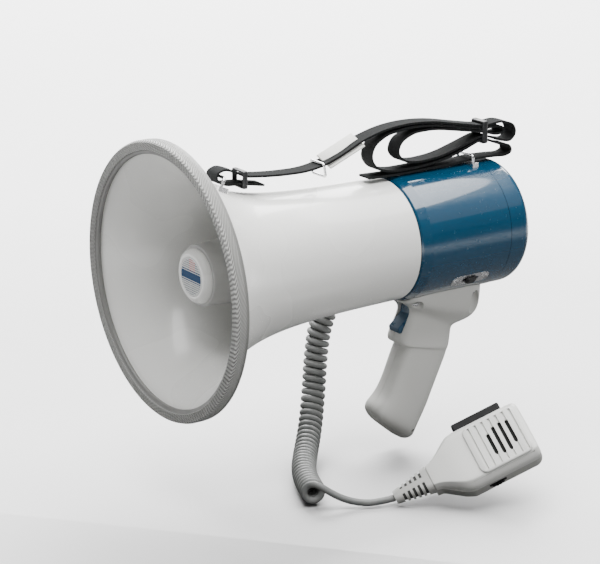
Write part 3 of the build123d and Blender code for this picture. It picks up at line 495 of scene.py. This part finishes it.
knurl_relief_and_painted_shade = knurl.cut(-1.0, 1.0) * knurled
trim_grey.bump(knurl_relief_and_painted_shade, 0.0005)
# Painted shade: the knurl darkens the colour in its grooves and lightens it on its crests.
trim_grey.set("Base Color", trim_grey.mix(knurl_relief_and_painted_shade, (0.17, 0.17, 0.163), (0.50, 0.50, 0.485)))
settle(trim, trim_grey.material, "trim_grey", "rim_trim")


# ---------------------------------------------------------------- reflector, cap and badge
# The sound leaves the throat forwards, turns back in this grey tube and comes out round it.
# A white cap is pushed into its front, with a printed disc glued in the cap's seat.

CAP_R = 0.0228
CAP_FRONT = MOUTH_X + 0.0265
CAP_DEPTH = 0.0065
CAP_ROUND = 0.0052
BADGE_R = 0.0160
CUP_X = CAP_FRONT + CAP_DEPTH
CUP_FRONT_R = 0.0255
CUP_REAR_R = 0.0320
CUP_LENGTH = 0.117
CUP_WALL = 0.0022
cap_line = [(CAP_FRONT + 0.0008, 0.0), (CAP_FRONT + 0.0008, BADGE_R + 0.0001)]
cap_line += [(CAP_FRONT + 0.0002, BADGE_R + 0.0003)]
for i in range(9):
    a = i / 8 * pi / 2
    cap_line.append((CAP_FRONT + CAP_ROUND * (1 - cos(a)), CAP_R - CAP_ROUND + CAP_ROUND * sin(a)))
cap_line += [(CUP_X - 0.0002, CAP_R), (CUP_X - 0.0002, 0.0)]
maker = bmesh.new()
outline_spun(maker, cap_line, AXIS_Z, 128)
cap = finished("reflector_cap_face", maker)
settle(cap, horn_white.material, "horn_white", "reflector_cap")

cup_line = [(CUP_X, 0.0), (CUP_X, CUP_FRONT_R - 0.0015)]
cup_line += [(CUP_X + 0.0005, CUP_FRONT_R - 0.0004), (CUP_X + 0.002, CUP_FRONT_R)]
cup_line += [(CUP_X + CUP_LENGTH - 0.0006, CUP_REAR_R), (CUP_X + CUP_LENGTH, CUP_REAR_R - 0.0006)]
cup_line += [(CUP_X + CUP_LENGTH, CUP_REAR_R - CUP_WALL)]
cup_line += [(CUP_X + CUP_WALL, CUP_FRONT_R - CUP_WALL), (CUP_X + CUP_WALL, 0.0)]
maker = bmesh.new()
outline_spun(maker, cup_line, AXIS_Z, 128)
cup = finished("reflector_tube", maker)
reflector_grey = moulded("reflector_grey", (0.40, 0.40, 0.39), 0.40)
settle(cup, reflector_grey.material, "reflector_grey", "reflector_cup")

maker = bmesh.new()
outline_spun(maker, [(CAP_FRONT, 0.0), (CAP_FRONT, BADGE_R - 0.0003), (CAP_FRONT + 0.0003, BADGE_R),
                     (CAP_FRONT + 0.0007, BADGE_R)], AXIS_Z, 96)
badge = finished("printed_badge", maker)
badge_print = Finish("badge_print", Base_Color=(0.7, 0.7, 0.68), Roughness=0.5)
badge_print.set("Specular IOR Level", 0.15)
x, y, z = badge_print.parts(badge_print.place())
up = z - AXIS_Z
white, navy = (0.72, 0.73, 0.72), (0.003, 0.045, 0.13)
red, dot_grey = (0.45, 0.03, 0.025), (0.13, 0.16, 0.19)
DOT_PITCH = 0.0018
DOT_SHIFT = 40.5          # keeps the count of dots positive, with a dot on the middle
DOT_AREA = 0.13
BAND_UP = 0.0006
BAND_HALF = 0.0032
LINE_FROM_BAND = 0.0044
LINE_HALF = 0.0004
PRINT_R = 0.0148
cell_y = badge_print.maths("FRACT", y / DOT_PITCH + DOT_SHIFT) - 0.5
cell_z = badge_print.maths("FRACT", up / DOT_PITCH + DOT_SHIFT) - 0.5
dots = cell_y * cell_y + cell_z * cell_z < DOT_AREA
red_part = (badge_print.maths("ABSOLUTE", y + 0.002) < 0.0042) * (up > 0.0045)
from_band = badge_print.maths("ABSOLUTE", up - BAND_UP)
bands = from_band < BAND_HALF
line = badge_print.maths("ABSOLUTE", from_band - LINE_FROM_BAND) < LINE_HALF
edge = y * y + up * up < PRINT_R * PRINT_R
dotted = badge_print.mix(dots * edge, white, badge_print.mix(red_part, dot_grey, red))
badge_print.set("Base Color", badge_print.mix((bands + line) * edge, dotted, navy))
settle(badge, badge_print.material, "badge_print", "badge")


# ---------------------------------------------------------------- rear housing and cover
# The canister behind the horn and its push-on cover are one glossy deep blue moulding each.
# The gap to the horn and the seam in front of the cover show as dark lines.

housing_blue = Finish("housing_blue", Base_Color=(0.0, 0.04, 0.085), Roughness=0.2, Coat_Weight=1.0)
housing_blue.set("Coat Roughness", 0.035)
haze = housing_blue.noise(7.0, 2.0)
housing_blue.set("Base Color", housing_blue.mix(haze, (0.0, 0.035, 0.075), (0.001, 0.045, 0.095)))
housing_blue.set("Roughness", housing_blue.noise(260.0, 5.0).cut(0.35, 0.75, 0.16, 0.30))


def dress(finish, *nodes):
    """Give CAD pieces whose shape is kept their finish."""
    for node in nodes:
        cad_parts[node].data.materials.clear()
        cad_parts[node].data.materials.append(finish.material)


dress(housing_blue, "rear_housing", "rear_cover")
seal_rubber = moulded("seal_rubber", (0.012, 0.012, 0.012), 0.55, 0.00005)
dress(seal_rubber, "cover_seal")


# ---------------------------------------------------------------- slide switch
# A pressed and nickel-plated obround plate with two cross-head screws, and a black nylon
# slider that clicks through its window.

bright_steel = Finish("bright_steel", Base_Color=(0.86, 0.86, 0.87), Metallic=1.0, Roughness=0.25)
bright_steel.set("Roughness", bright_steel.noise(900.0, 4.0).cut(0.3, 0.75, 0.20, 0.36))
bright_steel.bump(bright_steel.noise(1500.0, 3.0), 0.00002)
dress(bright_steel, "switch_plate", "switch_plate_screws")
black_nylon = moulded("black_plastic", (0.014, 0.014, 0.015), 0.38, 0.00005)
dress(black_nylon, "slide_knob", "switch_body", "trigger_switch", "key_switch")


# ---------------------------------------------------------------- pistol grip
# Two light grey ABS halves, screwed together from the far side. The saddle wraps under the
# housing, a step under the trigger stops the finger, and the foot flares round the palm.

GRIP_SECTIONS = [
    # front (x, z), back (x, z) and half width, in millimetres from the grip's middle
    ((-37, -42), (-16, -60.5), 6), ((-42, -37), (-9.5, -61), 11.5), ((-44.8, -31.5), (-5.5, -59), 14.5),
    ((-45.2, -27), (-3.8, -55), 15.8), ((-42.5, -22.5), (-1.2, -49.5), 16), ((-35.5, -17), (4.5, -41), 15.2),
    ((-30, -8.5), (11, -30), 14.6), ((-25.3, 1), (15, -20.5), 14.6), ((-20.3, 13), (22.5, -4), 15),
    ((-15.2, 24), (29, 10), 15.2), ((-13.6, 27.2), (30.6, 15), 15.2), ((-19.5, 28.2), (31.2, 17), 16.4),
    ((-21, 29.6), (32.6, 20), 16.5), ((-21.5, 34.6), (33.4, 23), 16.0), ((-18.5, 40.5), (34.4, 28), 15.4),
    ((-13.5, 50), (35, 33), 15.0), ((-10.3, 57.5), (36, 36.6), 15.2), ((-11.5, 61), (41, 38.8), 18),
    ((-15, 64), (50, 42), 23), ((-21, 67.5), (56.5, 48), 27.5), ((-27, 73), (60, 57), 29.6),
    ((-30, 82), (60.5, 78), 30.2), ((-30.5, 96), (60.5, 96), 30.2),
]
MM = 0.001
HOUSING_CUT_R = 0.0553
SEAM = 0.00012
SQUARE_POINTS = 24
GRIP_SQUARE = 0.5         # 1 gives an ellipse, 0 a rectangle


def squared_circle(segments, power):
    """A unit circle drawn out towards a square, for the section of a moulding."""
    places = []
    for i in range(segments):
        a = 2 * pi * (i + 0.5) / segments
        c, s = cos(a), sin(a)
        places.append((abs(c) ** power * (1 if c > 0 else -1), abs(s) ** power * (1 if s > 0 else -1)))
    return places


def lofted(maker, unit, matrices):
    """Carry a unit section through a row of places, each given as a matrix, and close its ends."""
    loop = [maker.verts.new((*place, 0.0)) for place in unit]
    edges = [maker.edges.new((loop[i], loop[(i + 1) % len(loop)])) for i in range(len(loop))]
    bmesh.ops.transform(maker, verts=loop, matrix=matrices[0])
    bmesh.ops.contextual_create(maker, geom=edges)
    for before, after in zip(matrices, matrices[1:]):
        made = bmesh.ops.extrude_edge_only(maker, edges=edges)["geom"]
        loop = [g for g in made if isinstance(g, bmesh.types.BMVert)]
        edges = [g for g in made if isinstance(g, bmesh.types.BMEdge)]
        edges = [e for e in edges if all(v in loop for v in e.verts)]
        bmesh.ops.transform(maker, verts=loop, matrix=after @ before.inverted())
    bmesh.ops.contextual_create(maker, geom=edges)


def across(front, back, half):
    """The matrix that lays a unit section between two points of the mid-plane."""
    front, back = Vector((front[0], 0, front[1])) * MM, Vector((back[0], 0, back[1])) * MM
    half_depth = (back - front) / 2
    side = Vector((0, half * MM, 0))
    up = half_depth.cross(side).normalized()
    matrix = Matrix((half_depth, side, up)).transposed().to_4x4()
    return Matrix.Translation((front + back) / 2) @ matrix


def baked(piece, *modifiers):
    """Apply modifiers, each given as (kind, settings), to a piece's mesh."""
    for kind, settings in modifiers:
        modifier = piece.modifiers.new(kind.lower(), kind)
        for key, value in settings.items():
            setattr(modifier, key, value)
    bpy.context.view_layer.update()
    graph = bpy.context.evaluated_depsgraph_get()
    mesh = bpy.data.meshes.new_from_object(piece.evaluated_get(graph))
    piece.modifiers.clear()
    piece.data = mesh
    return piece


def cutter(name, shapes):
    """One mesh of the shapes to be cut away. Each is (kind, matrix, sizes)."""
    maker = bmesh.new()
    for kind, matrix, sizes in shapes:
        if kind == "box":
            bmesh.ops.create_cube(maker, size=1.0, matrix=matrix @ Matrix.Diagonal((*sizes, 1.0)))
        else:
            radius, depth = sizes
            bmesh.ops.create_cone(maker, cap_ends=True, segments=48, radius1=radius, radius2=radius,
                                  depth=depth, matrix=matrix)
    mesh = bpy.data.meshes.new(name)
    maker.to_mesh(mesh)
    maker.free()
    tool = bpy.data.objects.new(name, mesh)
    bpy.context.collection.objects.link(tool)
    return tool


def cut_away(piece, name, shapes):
    """Cut shapes out of a piece."""
    tool = cutter(name, shapes)
    baked(piece, ("BOOLEAN", {"operation": "DIFFERENCE", "solver": "EXACT", "object": tool}))
    bpy.data.objects.remove(tool)


def shade_by_angle(piece, sharp):
    """Smooth faces, with creases where they meet more sharply than an angle."""
    for face in piece.data.polygons:
        face.use_smooth = True
    piece.data.set_sharp_from_angle(angle=radians(sharp))


maker = bmesh.new()
lofted(maker, squared_circle(SQUARE_POINTS, GRIP_SQUARE), [across(*section) for section in GRIP_SECTIONS])
grip = finished("grip", maker)
baked(grip, ("SUBSURF", {"levels": 3, "render_levels": 3}))
to_axis = Matrix.Translation((0.015, 0, AXIS_Z)) @ Matrix.Rotation(pi / 2, 4, "Y")
cut_away(grip, "housing_room", [("rod", to_axis, (HOUSING_CUT_R, 0.2))])
TRIGGER_ROOM = ((-0.0115, 0, 0.0508), 24, (0.026, 0.0162, 0.0285))
place, lean, sizes = TRIGGER_ROOM
slot = Matrix.Translation(place) @ Matrix.Rotation(radians(lean), 4, "Y")
cut_away(grip, "trigger_slot", [("box", slot, sizes)])
SCREW_X = (-0.014, 0.046)
SCREW_ANGLE = radians(22)
POCKET_R = 0.0055
POCKET_LONG = 0.06
SCREW_SEAT = 0.0595
FLARE_ANGLE = radians(62)
FLARE_OUT = 0.0287
FLARE_R = POCKET_R * 0.87
LANYARD_R = 0.0017
pockets, flares, screw_places = [], [], []
for x in SCREW_X:
    for side in (-1, 1):
        down = Vector((0, side * sin(SCREW_ANGLE), -cos(SCREW_ANGLE)))
        turn = Vector((0, 0, 1)).rotation_difference(down).to_matrix().to_4x4()
        seat = Vector((x, 0, AXIS_Z)) + down * SCREW_SEAT
        screw_places.append(Matrix.Translation(seat) @ turn)
        middle = Matrix.Translation(seat + down * POCKET_LONG / 2)
        pockets.append(("rod", middle @ turn, (POCKET_R, POCKET_LONG)))
        out = Vector((0, side * sin(FLARE_ANGLE), -cos(FLARE_ANGLE)))
        turn = Vector((0, 0, 1)).rotation_difference(out).to_matrix().to_4x4()
        flares.append(("rod", Matrix.Translation(seat + out * FLARE_OUT) @ turn, (FLARE_R, POCKET_LONG)))
cut_away(grip, "screw_pockets", pockets)
cut_away(grip, "pocket_flares", flares)
lanyard = Matrix.Translation((-0.009, 0, -0.0515)) @ Matrix.Rotation(pi / 2, 4, "X")
cut_away(grip, "lanyard_hole", [("rod", lanyard, (LANYARD_R, 0.06))])

grip_grey = moulded("grip_grey", (0.58, 0.58, 0.555), 0.40, 0.00005, 0.0, 0.03)
rubbed = grip_grey.noise(26.0, 5.0).cut(0.45, 0.7)
grip_grey.set("Roughness", rubbed * 0.10 + 0.36)
for name, node, side in (("grip_near", "grip_near_half", -1), ("grip_far", "grip_far_half", 1)):
    maker = bmesh.new()
    maker.from_mesh(grip.data)
    everything = maker.verts[:] + maker.edges[:] + maker.faces[:]
    cut = bmesh.ops.bisect_plane(maker, geom=everything, plane_co=(0, side * SEAM, 0),
                                 plane_no=(0, -side, 0), clear_outer=True)
    rim = [g for g in cut["geom_cut"] if isinstance(g, bmesh.types.BMEdge)]
    bmesh.ops.triangle_fill(maker, edges=rim, use_beauty=True)
    half = finished(name, maker, 32.0)
    settle(half, grip_grey.material, "grip_grey", node)
bpy.data.objects.remove(grip)


# ---------------------------------------------------------------- cross-head screws
# Four plated pan-head screws with a pressed cross. They sit at the bottom of the saddle's
# pockets and hold the grip to the housing.

SADDLE_HEAD_R = 0.0034
SADDLE_HEAD_HIGH = 0.0024
CROSS_TURN = 0.4


def screw_head(name, place, radius, height):
    """A domed head with a cross pressed into it, its seat on the place's origin."""
    maker = bmesh.new()
    dome = [(0.0, 0.0, height)]
    for i in range(1, 7):
        a = i / 6 * pi / 2
        dome.append((radius * sin(a), 0.0, height * (0.35 + 0.65 * cos(a))))
    dome.append((radius, 0.0, 0.0))
    verts = [maker.verts.new(point) for point in dome]
    edges = [maker.edges.new(pair) for pair in zip(verts, verts[1:])]
    bmesh.ops.spin(maker, geom=verts + edges, cent=(0, 0, 0), axis=(0, 0, 1), angle=2 * pi,
                   steps=40, use_merge=True)
    rim = [e for e in maker.edges if e.is_boundary]
    bmesh.ops.holes_fill(maker, edges=rim, sides=0)
    head = finished(name, maker)
    wide, narrow = radius * 1.15, radius * 0.26
    for turn in (0, pi / 2):
        cross = Matrix.Translation((0, 0, height)) @ Matrix.Rotation(turn + CROSS_TURN, 4, "Z")
        cut_away(head, "cross", [("box", cross, (wide, narrow, height * 1.1))])
    head.data.transform(place)
    shade_by_angle(head, 30)
    return head


for i, place in enumerate(screw_places):
    head = screw_head(f"saddle_screw_{i + 1}", place, SADDLE_HEAD_R, SADDLE_HEAD_HIGH)
    settle(head, bright_steel.material, "bright_steel", *(("saddle_screws",) if i == 0 else ()))


# ---------------------------------------------------------------- trigger
# A lever moulded in blue ABS, on a steel cross pin between the grip's halves. The forefinger
# pulls its curved front back against the switch.

trigger_blue = moulded("trigger_blue", (0.012, 0.055, 0.105), 0.30, 0.00003, 0.3)
dress(trigger_blue, "trigger")
steel = Finish("steel", Base_Color=(0.46, 0.46, 0.47), Metallic=1.0, Roughness=0.34)
brushed = steel.noise(700.0, 4.0)
steel.set("Roughness", brushed.cut(0.3, 0.7, 0.26, 0.44))
steel.bump(brushed, 0.00003)
dress(steel, "trigger_pin", "clamp_screws")


# ---------------------------------------------------------------- shoulder strap and fittings
# Black polypropylene webbing, folded into a bundle and tied above the housing. It runs from
# the front ring through a wire loop and a white length plate, and under the rear ring.

webbing = Finish("webbing", Base_Color=(0.010, 0.011, 0.011), Roughness=0.85)
webbing.set("Specular IOR Level", 0.12)
x, y, z = webbing.parts(webbing.place())
WARP_PITCH = 0.0011
WEFT_PITCH = 0.0016
warp = webbing.maths("SINE", y * (2 * pi / WARP_PITCH))
weft = webbing.maths("SINE", x * (2 * pi / WEFT_PITCH))
weave = (warp * weft).cut(-1.0, 1.0)
webbing.set("Base Color", webbing.mix(weave, (0.004, 0.0045, 0.005), (0.021, 0.022, 0.022)))
webbing.bump(weave, 0.00035)
webbing.bump(webbing.noise(2400.0, 3.0), 0.0001)
dress(webbing, "shoulder_strap")
tag_white = moulded("tag_white", (0.66, 0.66, 0.62), 0.36, 0.00003)
rubbed = tag_white.noise(70.0, 5.0).cut(0.5, 0.75)
tag_white.set("Base Color", tag_white.mix(rubbed, (0.68, 0.68, 0.64), (0.5, 0.5, 0.47)))


def rounded_box(maker, matrix, sizes, radius):
    """A block with rounded edges."""
    made = bmesh.ops.create_cube(maker, size=1.0, matrix=matrix @ Matrix.Diagonal((*sizes, 1.0)))
    edges = list({edge for vert in made["verts"] for edge in vert.link_edges})
    bmesh.ops.bevel(maker, geom=edges, offset=radius, segments=3, affect="EDGES", profile=0.5)


TAG_AT = (-0.0785, -0.0005, 0.2078)
TAG_SIZE = (0.038, 0.0185, 0.0017)
TAG_LEAN = radians(-22.2)
TAG_ROLL = radians(30)
SLIT_TURN = radians(10)
SLIT_SIZE = (0.019, 0.0011, 0.01)
tag_place = Matrix.Translation(TAG_AT) @ Matrix.Rotation(TAG_LEAN, 4, "Y")
tag_place = tag_place @ Matrix.Rotation(TAG_ROLL, 4, "X")
maker = bmesh.new()
rounded_box(maker, tag_place, TAG_SIZE, 0.0008)
tag = finished("length_plate", maker, 40)
slit = tag_place @ Matrix.Translation((0.005, -0.002, 0)) @ Matrix.Rotation(SLIT_TURN, 4, "Z")
cut_away(tag, "slit", [("box", slit, SLIT_SIZE)])
shade_by_angle(tag, 40)
settle(tag, tag_white.material, "tag_white", "strap_tag")

# Two nylon bands: the slide behind the front ring, and the tie round the bundle.
BAND_WALL = 0.0013
for name, node in (("slide_band", "strap_keeper"), ("tie_band", "strap_tie")):
    band_low, band_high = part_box(node)
    middle, sizes = (band_low + band_high) / 2, band_high - band_low
    maker = bmesh.new()
    rounded_box(maker, Matrix.Translation(middle), sizes, 0.0016)
    band = finished(name, maker, 40)
    hole = Vector((sizes.x * 2, sizes.y - 2 * BAND_WALL, sizes.z - 2 * BAND_WALL))
    cut_away(band, "opening", [("box", Matrix.Translation(middle), hole)])
    shade_by_angle(band, 40)
    settle(band, black_nylon.material, "black_plastic", node)
dress(bright_steel, "front_ring", "front_bracket", "rear_ring", "rear_bracket", "wire_loop")


# ---------------------------------------------------------------- hand microphone, front shell
# Light grey ABS. Behind the neck the face steps up to a plateau with seven shallow louvre
# grooves, of which four open into sound slots. Its flanks are bevelled down to the sides.

MIC_AT = Vector((-0.091, -0.098, -0.066))
MIC_U = Vector((0.812, -0.391, 0.433)).normalized()
MIC_W = Vector((-0.581, -0.473, 0.663))
MIC_W = (MIC_W - MIC_U * MIC_W.dot(MIC_U)).normalized()
MIC_V = MIC_W.cross(MIC_U)
MIC_SECTIONS = [
    # distance along, half width and height of the face, in millimetres
    (33, 10.8, 8.6), (33.6, 11.0, 9.0), (38, 11.8, 9.7), (45, 15.6, 10.5), (52, 21, 11.2),
    (58, 25.4, 11.6), (64, 26.9, 11.7), (70, 27, 11.6), (85, 27, 11.6), (112, 27, 11.6),
    (118, 27, 11.6), (121.5, 26.6, 11.4), (123.8, 25.2, 10.2), (125, 22.5, 7.6),
]
FACE_PROFILE = [
    (-0.99, -0.5), (-1.0, -0.1), (-1.0, 0.30), (-0.985, 0.52), (-0.93, 0.70), (-0.83, 0.93), (-0.79, 0.985),
    (-0.74, 1.0), (-0.35, 1.0), (0.35, 1.0), (0.74, 1.0), (0.79, 0.985), (0.83, 0.93), (0.93, 0.70),
    (0.985, 0.52), (1.0, 0.30), (1.0, -0.1), (0.99, -0.5), (0.4, -0.5), (-0.4, -0.5),
]
GROOVE_AT = [79.0 + 6.3 * i for i in range(7)]
GROOVE_LEAN = radians(22)
GROOVE_SIZE = (0.0020, 0.0400, 0.0026)
SLOT_SPANS = [(-11, 8), (-13, 12), (-13, 13), (-9, 12)]
SLOT_WIDE = 0.0031
SLOT_DEEP = 0.03
SLOT_INSET = 1.1
FACE_W = 13.2
PAD = ((96.8, 0, 10.8), (0.0476, 0.0445), 0.0048)
PAD_CORNER = 0.0065
PAD_EDGE = 0.0011
KEY_ROOM = ((90.0, 27.0, 1.5), (0.046, 0.0155, 0.0112))
MIC_HOLLOW = ((92, 0, 3.0), (0.056, 0.046, 0.0145))


def in_mic(u, v, w):
    """A place in the microphone's own frame, from millimetres."""
    return MIC_AT + (MIC_U * u + MIC_V * v + MIC_W * w) * MM


def mic_place(u, v, w, lean=0.0):
    """A matrix at that place with the microphone's axes, leaned about its cross axis."""
    axes = Matrix((MIC_U, MIC_V, MIC_W)).transposed().to_4x4()
    return Matrix.Translation(in_mic(u, v, w)) @ axes @ Matrix.Rotation(lean, 4, "Y")


def mic_section(u, half, height):
    axes = Matrix((MIC_V * half * MM, MIC_W * height * MM, MIC_U)).transposed().to_4x4()
    return Matrix.Translation(in_mic(u, 0, 0)) @ axes


maker = bmesh.new()
lofted(maker, FACE_PROFILE, [mic_section(*section) for section in MIC_SECTIONS])
face = finished("mic_face", maker)
baked(face, ("SUBSURF", {"levels": 2, "render_levels": 2}))
maker = bmesh.new()
place, (pad_long, pad_wide), pad_high = PAD
bmesh.ops.create_cube(maker, size=1.0, matrix=Matrix.Diagonal((pad_long, pad_wide, pad_high, 1.0)))
uprights = [e for e in maker.edges if abs(e.verts[0].co.z - e.verts[1].co.z) > 0.001]
bmesh.ops.bevel(maker, geom=uprights, offset=PAD_CORNER, segments=8, affect="EDGES", profile=0.5)
rim = [e for e in maker.edges if min(v.co.z for v in e.verts) > 0.0]
bmesh.ops.bevel(maker, geom=rim, offset=PAD_EDGE, segments=3, affect="EDGES", profile=0.5)
bmesh.ops.transform(maker, verts=maker.verts, matrix=mic_place(*place))
pad = finished("plateau", maker)
baked(face, ("BOOLEAN", {"operation": "UNION", "solver": "EXACT", "object": pad}))
bpy.data.objects.remove(pad)
groove_places = [mic_place(u, 0, FACE_W - 0.1, GROOVE_LEAN) for u in GROOVE_AT]
cut_away(face, "grooves", [("box", place, GROOVE_SIZE) for place in groove_places])
slots = []
for u, (start, end) in zip(GROOVE_AT[2:], SLOT_SPANS):
    long = (end - start - 2 * SLOT_INSET) * MM
    slots.append(("box", mic_place(u, (start + end) / 2, FACE_W), (SLOT_WIDE, long, SLOT_DEEP)))
    for v in (start + SLOT_INSET, end - SLOT_INSET):
        slots.append(("rod", mic_place(u, v, FACE_W), (SLOT_WIDE / 2, SLOT_DEEP)))
cut_away(face, "parting", [("box", mic_place(80, 0, -25), (0.12, 0.08, 0.05 + 0.0002))])
place, sizes = MIC_HOLLOW
cut_away(face, "inside", [("box", mic_place(*place), sizes)])
for shape in slots:
    cut_away(face, "slot", [shape])
place, sizes = KEY_ROOM
cut_away(face, "key_room", [("box", mic_place(*place), sizes)])
shade_by_angle(face, 32)
mic_light = moulded("mic_light", (0.66, 0.66, 0.635), 0.36, 0.00004)
handled = mic_light.noise(45.0, 5.0).cut(0.45, 0.7)
mic_light.set("Roughness", handled * 0.14 + 0.31)
settle(face, mic_light.material, "mic_light", "mic_front_shell")


# ---------------------------------------------------------------- microphone, other pieces
# The back shell is the same plastic in a darker grey. A black talk key runs along one side,
# a scalloped volume wheel shows at the other, and dark cloth lies behind the slots.

mic_grey = moulded("mic_grey", (0.42, 0.42, 0.40), 0.42)
dress(mic_grey, "mic_back_shell", "hang_button")
key_black = moulded("key_black", (0.004, 0.004, 0.0045), 0.5, 0.00005)
key_black.set("Specular IOR Level", 0.2)
dress(key_black, "talk_key", "volume_wheel")
grille_cloth = Finish("grille_cloth", Base_Color=(0.006, 0.006, 0.006), Roughness=0.95)
x, y, z = grille_cloth.parts(grille_cloth.place())
THREADS = 9000.0
threads = grille_cloth.maths("SINE", x * THREADS) * grille_cloth.maths("SINE", y * THREADS)
raised = threads.cut(-1.0, 1.0)
grille_cloth.bump(raised, 0.0001)
grille_cloth.set("Base Color", grille_cloth.mix(raised, (0.004, 0.004, 0.004), (0.012, 0.012, 0.012)))
dress(grille_cloth, "grille_cloth")
dress(steel, "mic_screws", "key_pin", "wheel_spindle", "mic_capsule")
boot_grey = moulded("boot_grey", (0.46, 0.46, 0.44), 0.5, 0.00006)
dress(boot_grey, "mic_boot")

# Between the sleeve's ribs lies the wall that the cord runs in, coloured near black as painted shade in the
# gaps between the ribs.
SLEEVE_SECTIONS = [(3.5, 4.6, 4.6), (10, 6.2, 5.4), (20, 8.2, 6.6), (31.5, 9.6, 7.6)]
SLEEVE_SQUARE = 0.8
maker = bmesh.new()
places = [mic_section(*section) for section in SLEEVE_SECTIONS]
lofted(maker, squared_circle(SQUARE_POINTS, SLEEVE_SQUARE), places)
core = finished("sleeve_core", maker)
# Near-black colour: painted shade between the sleeve's ribs.
rib_gap_painted_shade = moulded("rib_gap_painted_shade", (0.05, 0.05, 0.048), 0.7)
settle(core, rib_gap_painted_shade.material, "boot_grey")


# ---------------------------------------------------------------- driver, battery and board
# Inside the canister: the compression driver on its bulkhead, an aluminium heat sink, the
# amplifier board, and eight cells in a black holder that shows when the cover is off.

dress(black_nylon, "bulkhead", "battery_holder")
dress(reflector_grey, "throat_tube")
dress(steel, "driver_basket", "driver_screws", "cell_springs")
magnet = moulded("magnet", (0.035, 0.034, 0.036), 0.6, 0.0001)
dress(magnet, "driver_magnet")
diaphragm = moulded("diaphragm", (0.22, 0.10, 0.035), 0.4)
dress(diaphragm, "driver_diaphragm")
aluminium = Finish("aluminium", Base_Color=(0.72, 0.73, 0.74), Metallic=1.0, Roughness=0.35)
aluminium.set("Roughness", aluminium.noise(800.0, 4.0).cut(0.3, 0.7, 0.28, 0.46))
dress(aluminium, "heat_sink")
board = Finish("circuit_board", Base_Color=(0.012, 0.10, 0.035), Roughness=0.3)
tracks = board.noise(240.0, 1.0).cut(0.50, 0.52)
board.set("Base Color", board.mix(tracks, (0.010, 0.085, 0.030), (0.03, 0.16, 0.06)))
dress(board, "amplifier_board", "mic_board")
chips = moulded("board_components", (0.03, 0.03, 0.032), 0.45)
dress(chips, "board_components")
cells = Finish("cell_jacket", Base_Color=(0.02, 0.03, 0.05), Roughness=0.25, Coat_Weight=0.5)
x, y, z = cells.parts(cells.place())
JACKET_BAND_X = 0.07
cells.set("Base Color", cells.mix(x > JACKET_BAND_X, (0.02, 0.03, 0.05), (0.45, 0.30, 0.10)))
dress(cells, "battery_cells")
